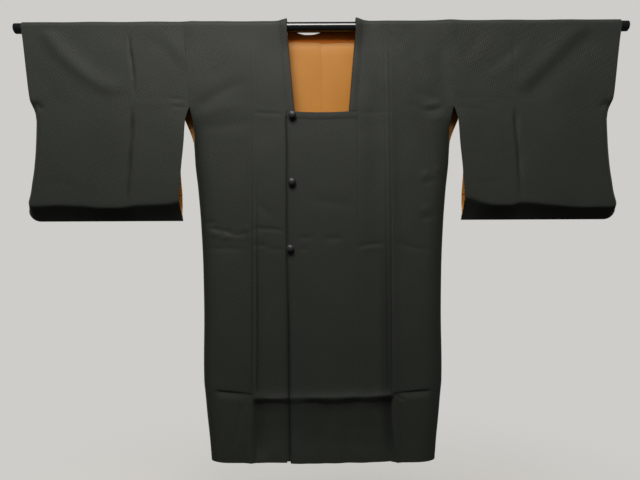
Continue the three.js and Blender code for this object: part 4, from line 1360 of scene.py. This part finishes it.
# ------------------------------------------------------------------ stage
def stage():
    scene = bpy.context.scene
    scene.view_settings.view_transform = "Standard"
    world = bpy.data.worlds.new("studio")
    scene.world = world
    world.use_nodes = True
    tree = world.node_tree
    tree.nodes.clear()
    k = Nodes(tree)
    out = k.node("ShaderNodeOutputWorld")
    direction = k.node("ShaderNodeTexCoord").outputs["Generated"]
    split = k.node("ShaderNodeSeparateXYZ")
    k.put(split.inputs[0], direction)
    up = k.math("MULTIPLY_ADD", split.outputs[2], 0.5, 0.5)
    ramp = k.node("ShaderNodeValToRGB")
    ramp.color_ramp.elements[0].position = 0.25
    ramp.color_ramp.elements[0].color = (0.022, 0.022, 0.020, 1)
    ramp.color_ramp.elements[1].position = 0.9
    ramp.color_ramp.elements[1].color = (0.62, 0.62, 0.60, 1)
    middle = ramp.color_ramp.elements.new(0.55)
    middle.color = (0.20, 0.20, 0.19, 1)
    k.put(ramp.inputs[0], up)
    light = k.node("ShaderNodeBackground")
    k.put(light.inputs["Color"], ramp.outputs[0])
    aside = k.math("ABSOLUTE", k.math("MULTIPLY_ADD", split.outputs[0], 1.0, 0.0))
    k.put(light.inputs["Strength"], k.math("MULTIPLY_ADD", aside, -1.2, 1.5))
    shown = k.node("ShaderNodeBackground")
    shown.inputs["Color"].default_value = (0.62, 0.61, 0.585, 1)
    both = k.node("ShaderNodeMixShader")
    k.put(both.inputs[0], k.node("ShaderNodeLightPath").outputs["Is Camera Ray"])
    dark = k.node("ShaderNodeBackground")
    dark.inputs["Color"].default_value = (0.05, 0.052, 0.05, 1)
    room = k.node("ShaderNodeMixShader")
    k.put(room.inputs[0], k.node("ShaderNodeLightPath").outputs["Is Glossy Ray"])
    k.put(room.inputs[1], light.outputs[0])
    k.put(room.inputs[2], dark.outputs[0])
    k.put(both.inputs[1], room.outputs[0])
    k.put(both.inputs[2], shown.outputs[0])
    k.put(out.inputs["Surface"], both.outputs[0])

    # pale floor, fading into the pale background
    m, ftree, shader = material("pale_floor")
    f = Nodes(ftree)
    place = f.node("ShaderNodeTexCoord").outputs["Object"]
    shader.inputs["Base Color"].default_value = (0.6, 0.59, 0.57, 1)
    shader.inputs["Roughness"].default_value = 0.9
    glow = f.node("ShaderNodeEmission")
    glow.inputs["Color"].default_value = (0.62, 0.61, 0.585, 1)
    reach = f.node("ShaderNodeVectorMath", operation="LENGTH")
    f.put(reach.inputs[0], place)
    fade = f.node("ShaderNodeMapRange", interpolation_type="SMOOTHSTEP")
    f.put(fade.inputs["Value"], reach.outputs["Value"])
    fade.inputs["From Min"].default_value = 0.7
    fade.inputs["From Max"].default_value = 2.1
    blend = f.node("ShaderNodeMixShader")
    f.put(blend.inputs[0], fade.outputs[0])
    f.put(blend.inputs[1], shader.outputs[0])
    f.put(blend.inputs[2], glow.outputs[0])
    out = next(n for n in ftree.nodes if n.type == "OUTPUT_MATERIAL")
    f.put(out.inputs["Surface"], blend.outputs[0])
    mesh = bpy.data.meshes.new("floor")
    n = 64
    ring = [(9 * math.cos(2 * math.pi * i / n), 9 * math.sin(2 * math.pi * i / n), 0.0) for i in range(n)]
    mesh.from_pydata([(0, 0, 0)] + ring, [], [(0, 1 + i, 1 + (i + 1) % n) for i in range(n)])
    floor = bpy.data.objects.new("floor", mesh)
    floor.location = (0, 0.1, -1.5)
    floor.visible_diffuse = False
    floor.visible_glossy = False
    mesh.materials.append(m)
    scene.collection.objects.link(floor)

    def area(name, place, aim, size, power, colour):
        data = bpy.data.lights.new(name, "AREA")
        data.shape = "RECTANGLE"
        data.size, data.size_y = size
        data.energy = power
        data.color = colour
        obj = bpy.data.objects.new(name, data)
        scene.collection.objects.link(obj)
        d = np.array(aim, float) - np.array(place, float)
        from mathutils import Vector
        obj.rotation_euler = Vector(d).to_track_quat("-Z", "Y").to_euler()
        obj.location = place
        return obj

    area("ceiling_front", (-0.26, -1.35, 1.35), (-0.02, 0, -0.3), (1.3, 1.0), 61, (1.0, 0.99, 0.96))
    back = area("ceiling_back", (0.0, 1.6, 1.35), (0, 0, -0.35), (2.4, 1.0), 40, (1.0, 0.99, 0.97))
    back.visible_glossy = False

    data = bpy.data.cameras.new("camera")
    data.lens = 28.0
    data.sensor_width = 36.0
    camera = bpy.data.objects.new("camera", data)
    a = math.radians(0.25)
    camera.matrix_world = Matrix(
        (
            (math.cos(a), math.sin(a), 0.0, -0.0049),
            (0.0, 0.0, -1.0, -1.111),
            (-math.sin(a), math.cos(a), 0.0, -0.4747),
            (0.0, 0.0, 0.0, 1.0),
        )
    )
    scene.collection.objects.link(camera)
    scene.camera = camera


# ------------------------------------------------------------------ the coat
stage()
pieces = [body("body_left", 1.0), body("body_right", -1.0)]
top_panel = overlap("overlap_left", PANEL["lap"], PANEL["seam"] - SEAM, lambda x: neck_line(x) - BAND - SEAM, HEM, PANEL["rise"], 0.7, CLOTH, (0, 1, 0, 1))
pieces.append(finish_piece(top_panel, "overlap_left", [COAT, GOLD, FACING]))
under_panel = overlap("overlap_right", -PANEL["seam"] + SEAM, 77.0, lambda x: neck_line(x) - 2, HEM + 3, 0.0, 0.0, CLOTH, (1, 0, 0, 0))
pieces.append(finish_piece(under_panel, "overlap_right", [COAT, GOLD, FACING]))
pieces += [collar_side("collar_left", 1.0), collar_side("collar_right", -1.0), collar_front("collar_front"), collar_back("collar_back")]
pieces += [sleeve("sleeve_left", 1.0), sleeve("sleeve_right", -1.0)]
pieces += [lining_back("lining_back_left", 1.0), lining_back("lining_back_right", -1.0)]
pieces += [lining_sleeve("lining_sleeve_left", 1.0), lining_sleeve("lining_sleeve_right", -1.0)]
pieces += [button("button_top"), button("button_middle"), button("button_bottom")]
pieces.append(rod())
for p in pieces:
    print("piece", p.name, "triangles", sum(len(f.vertices) - 2 for f in p.data.polygons), "cloth", round(p.get("cloth_area_m2", 0.0), 4))
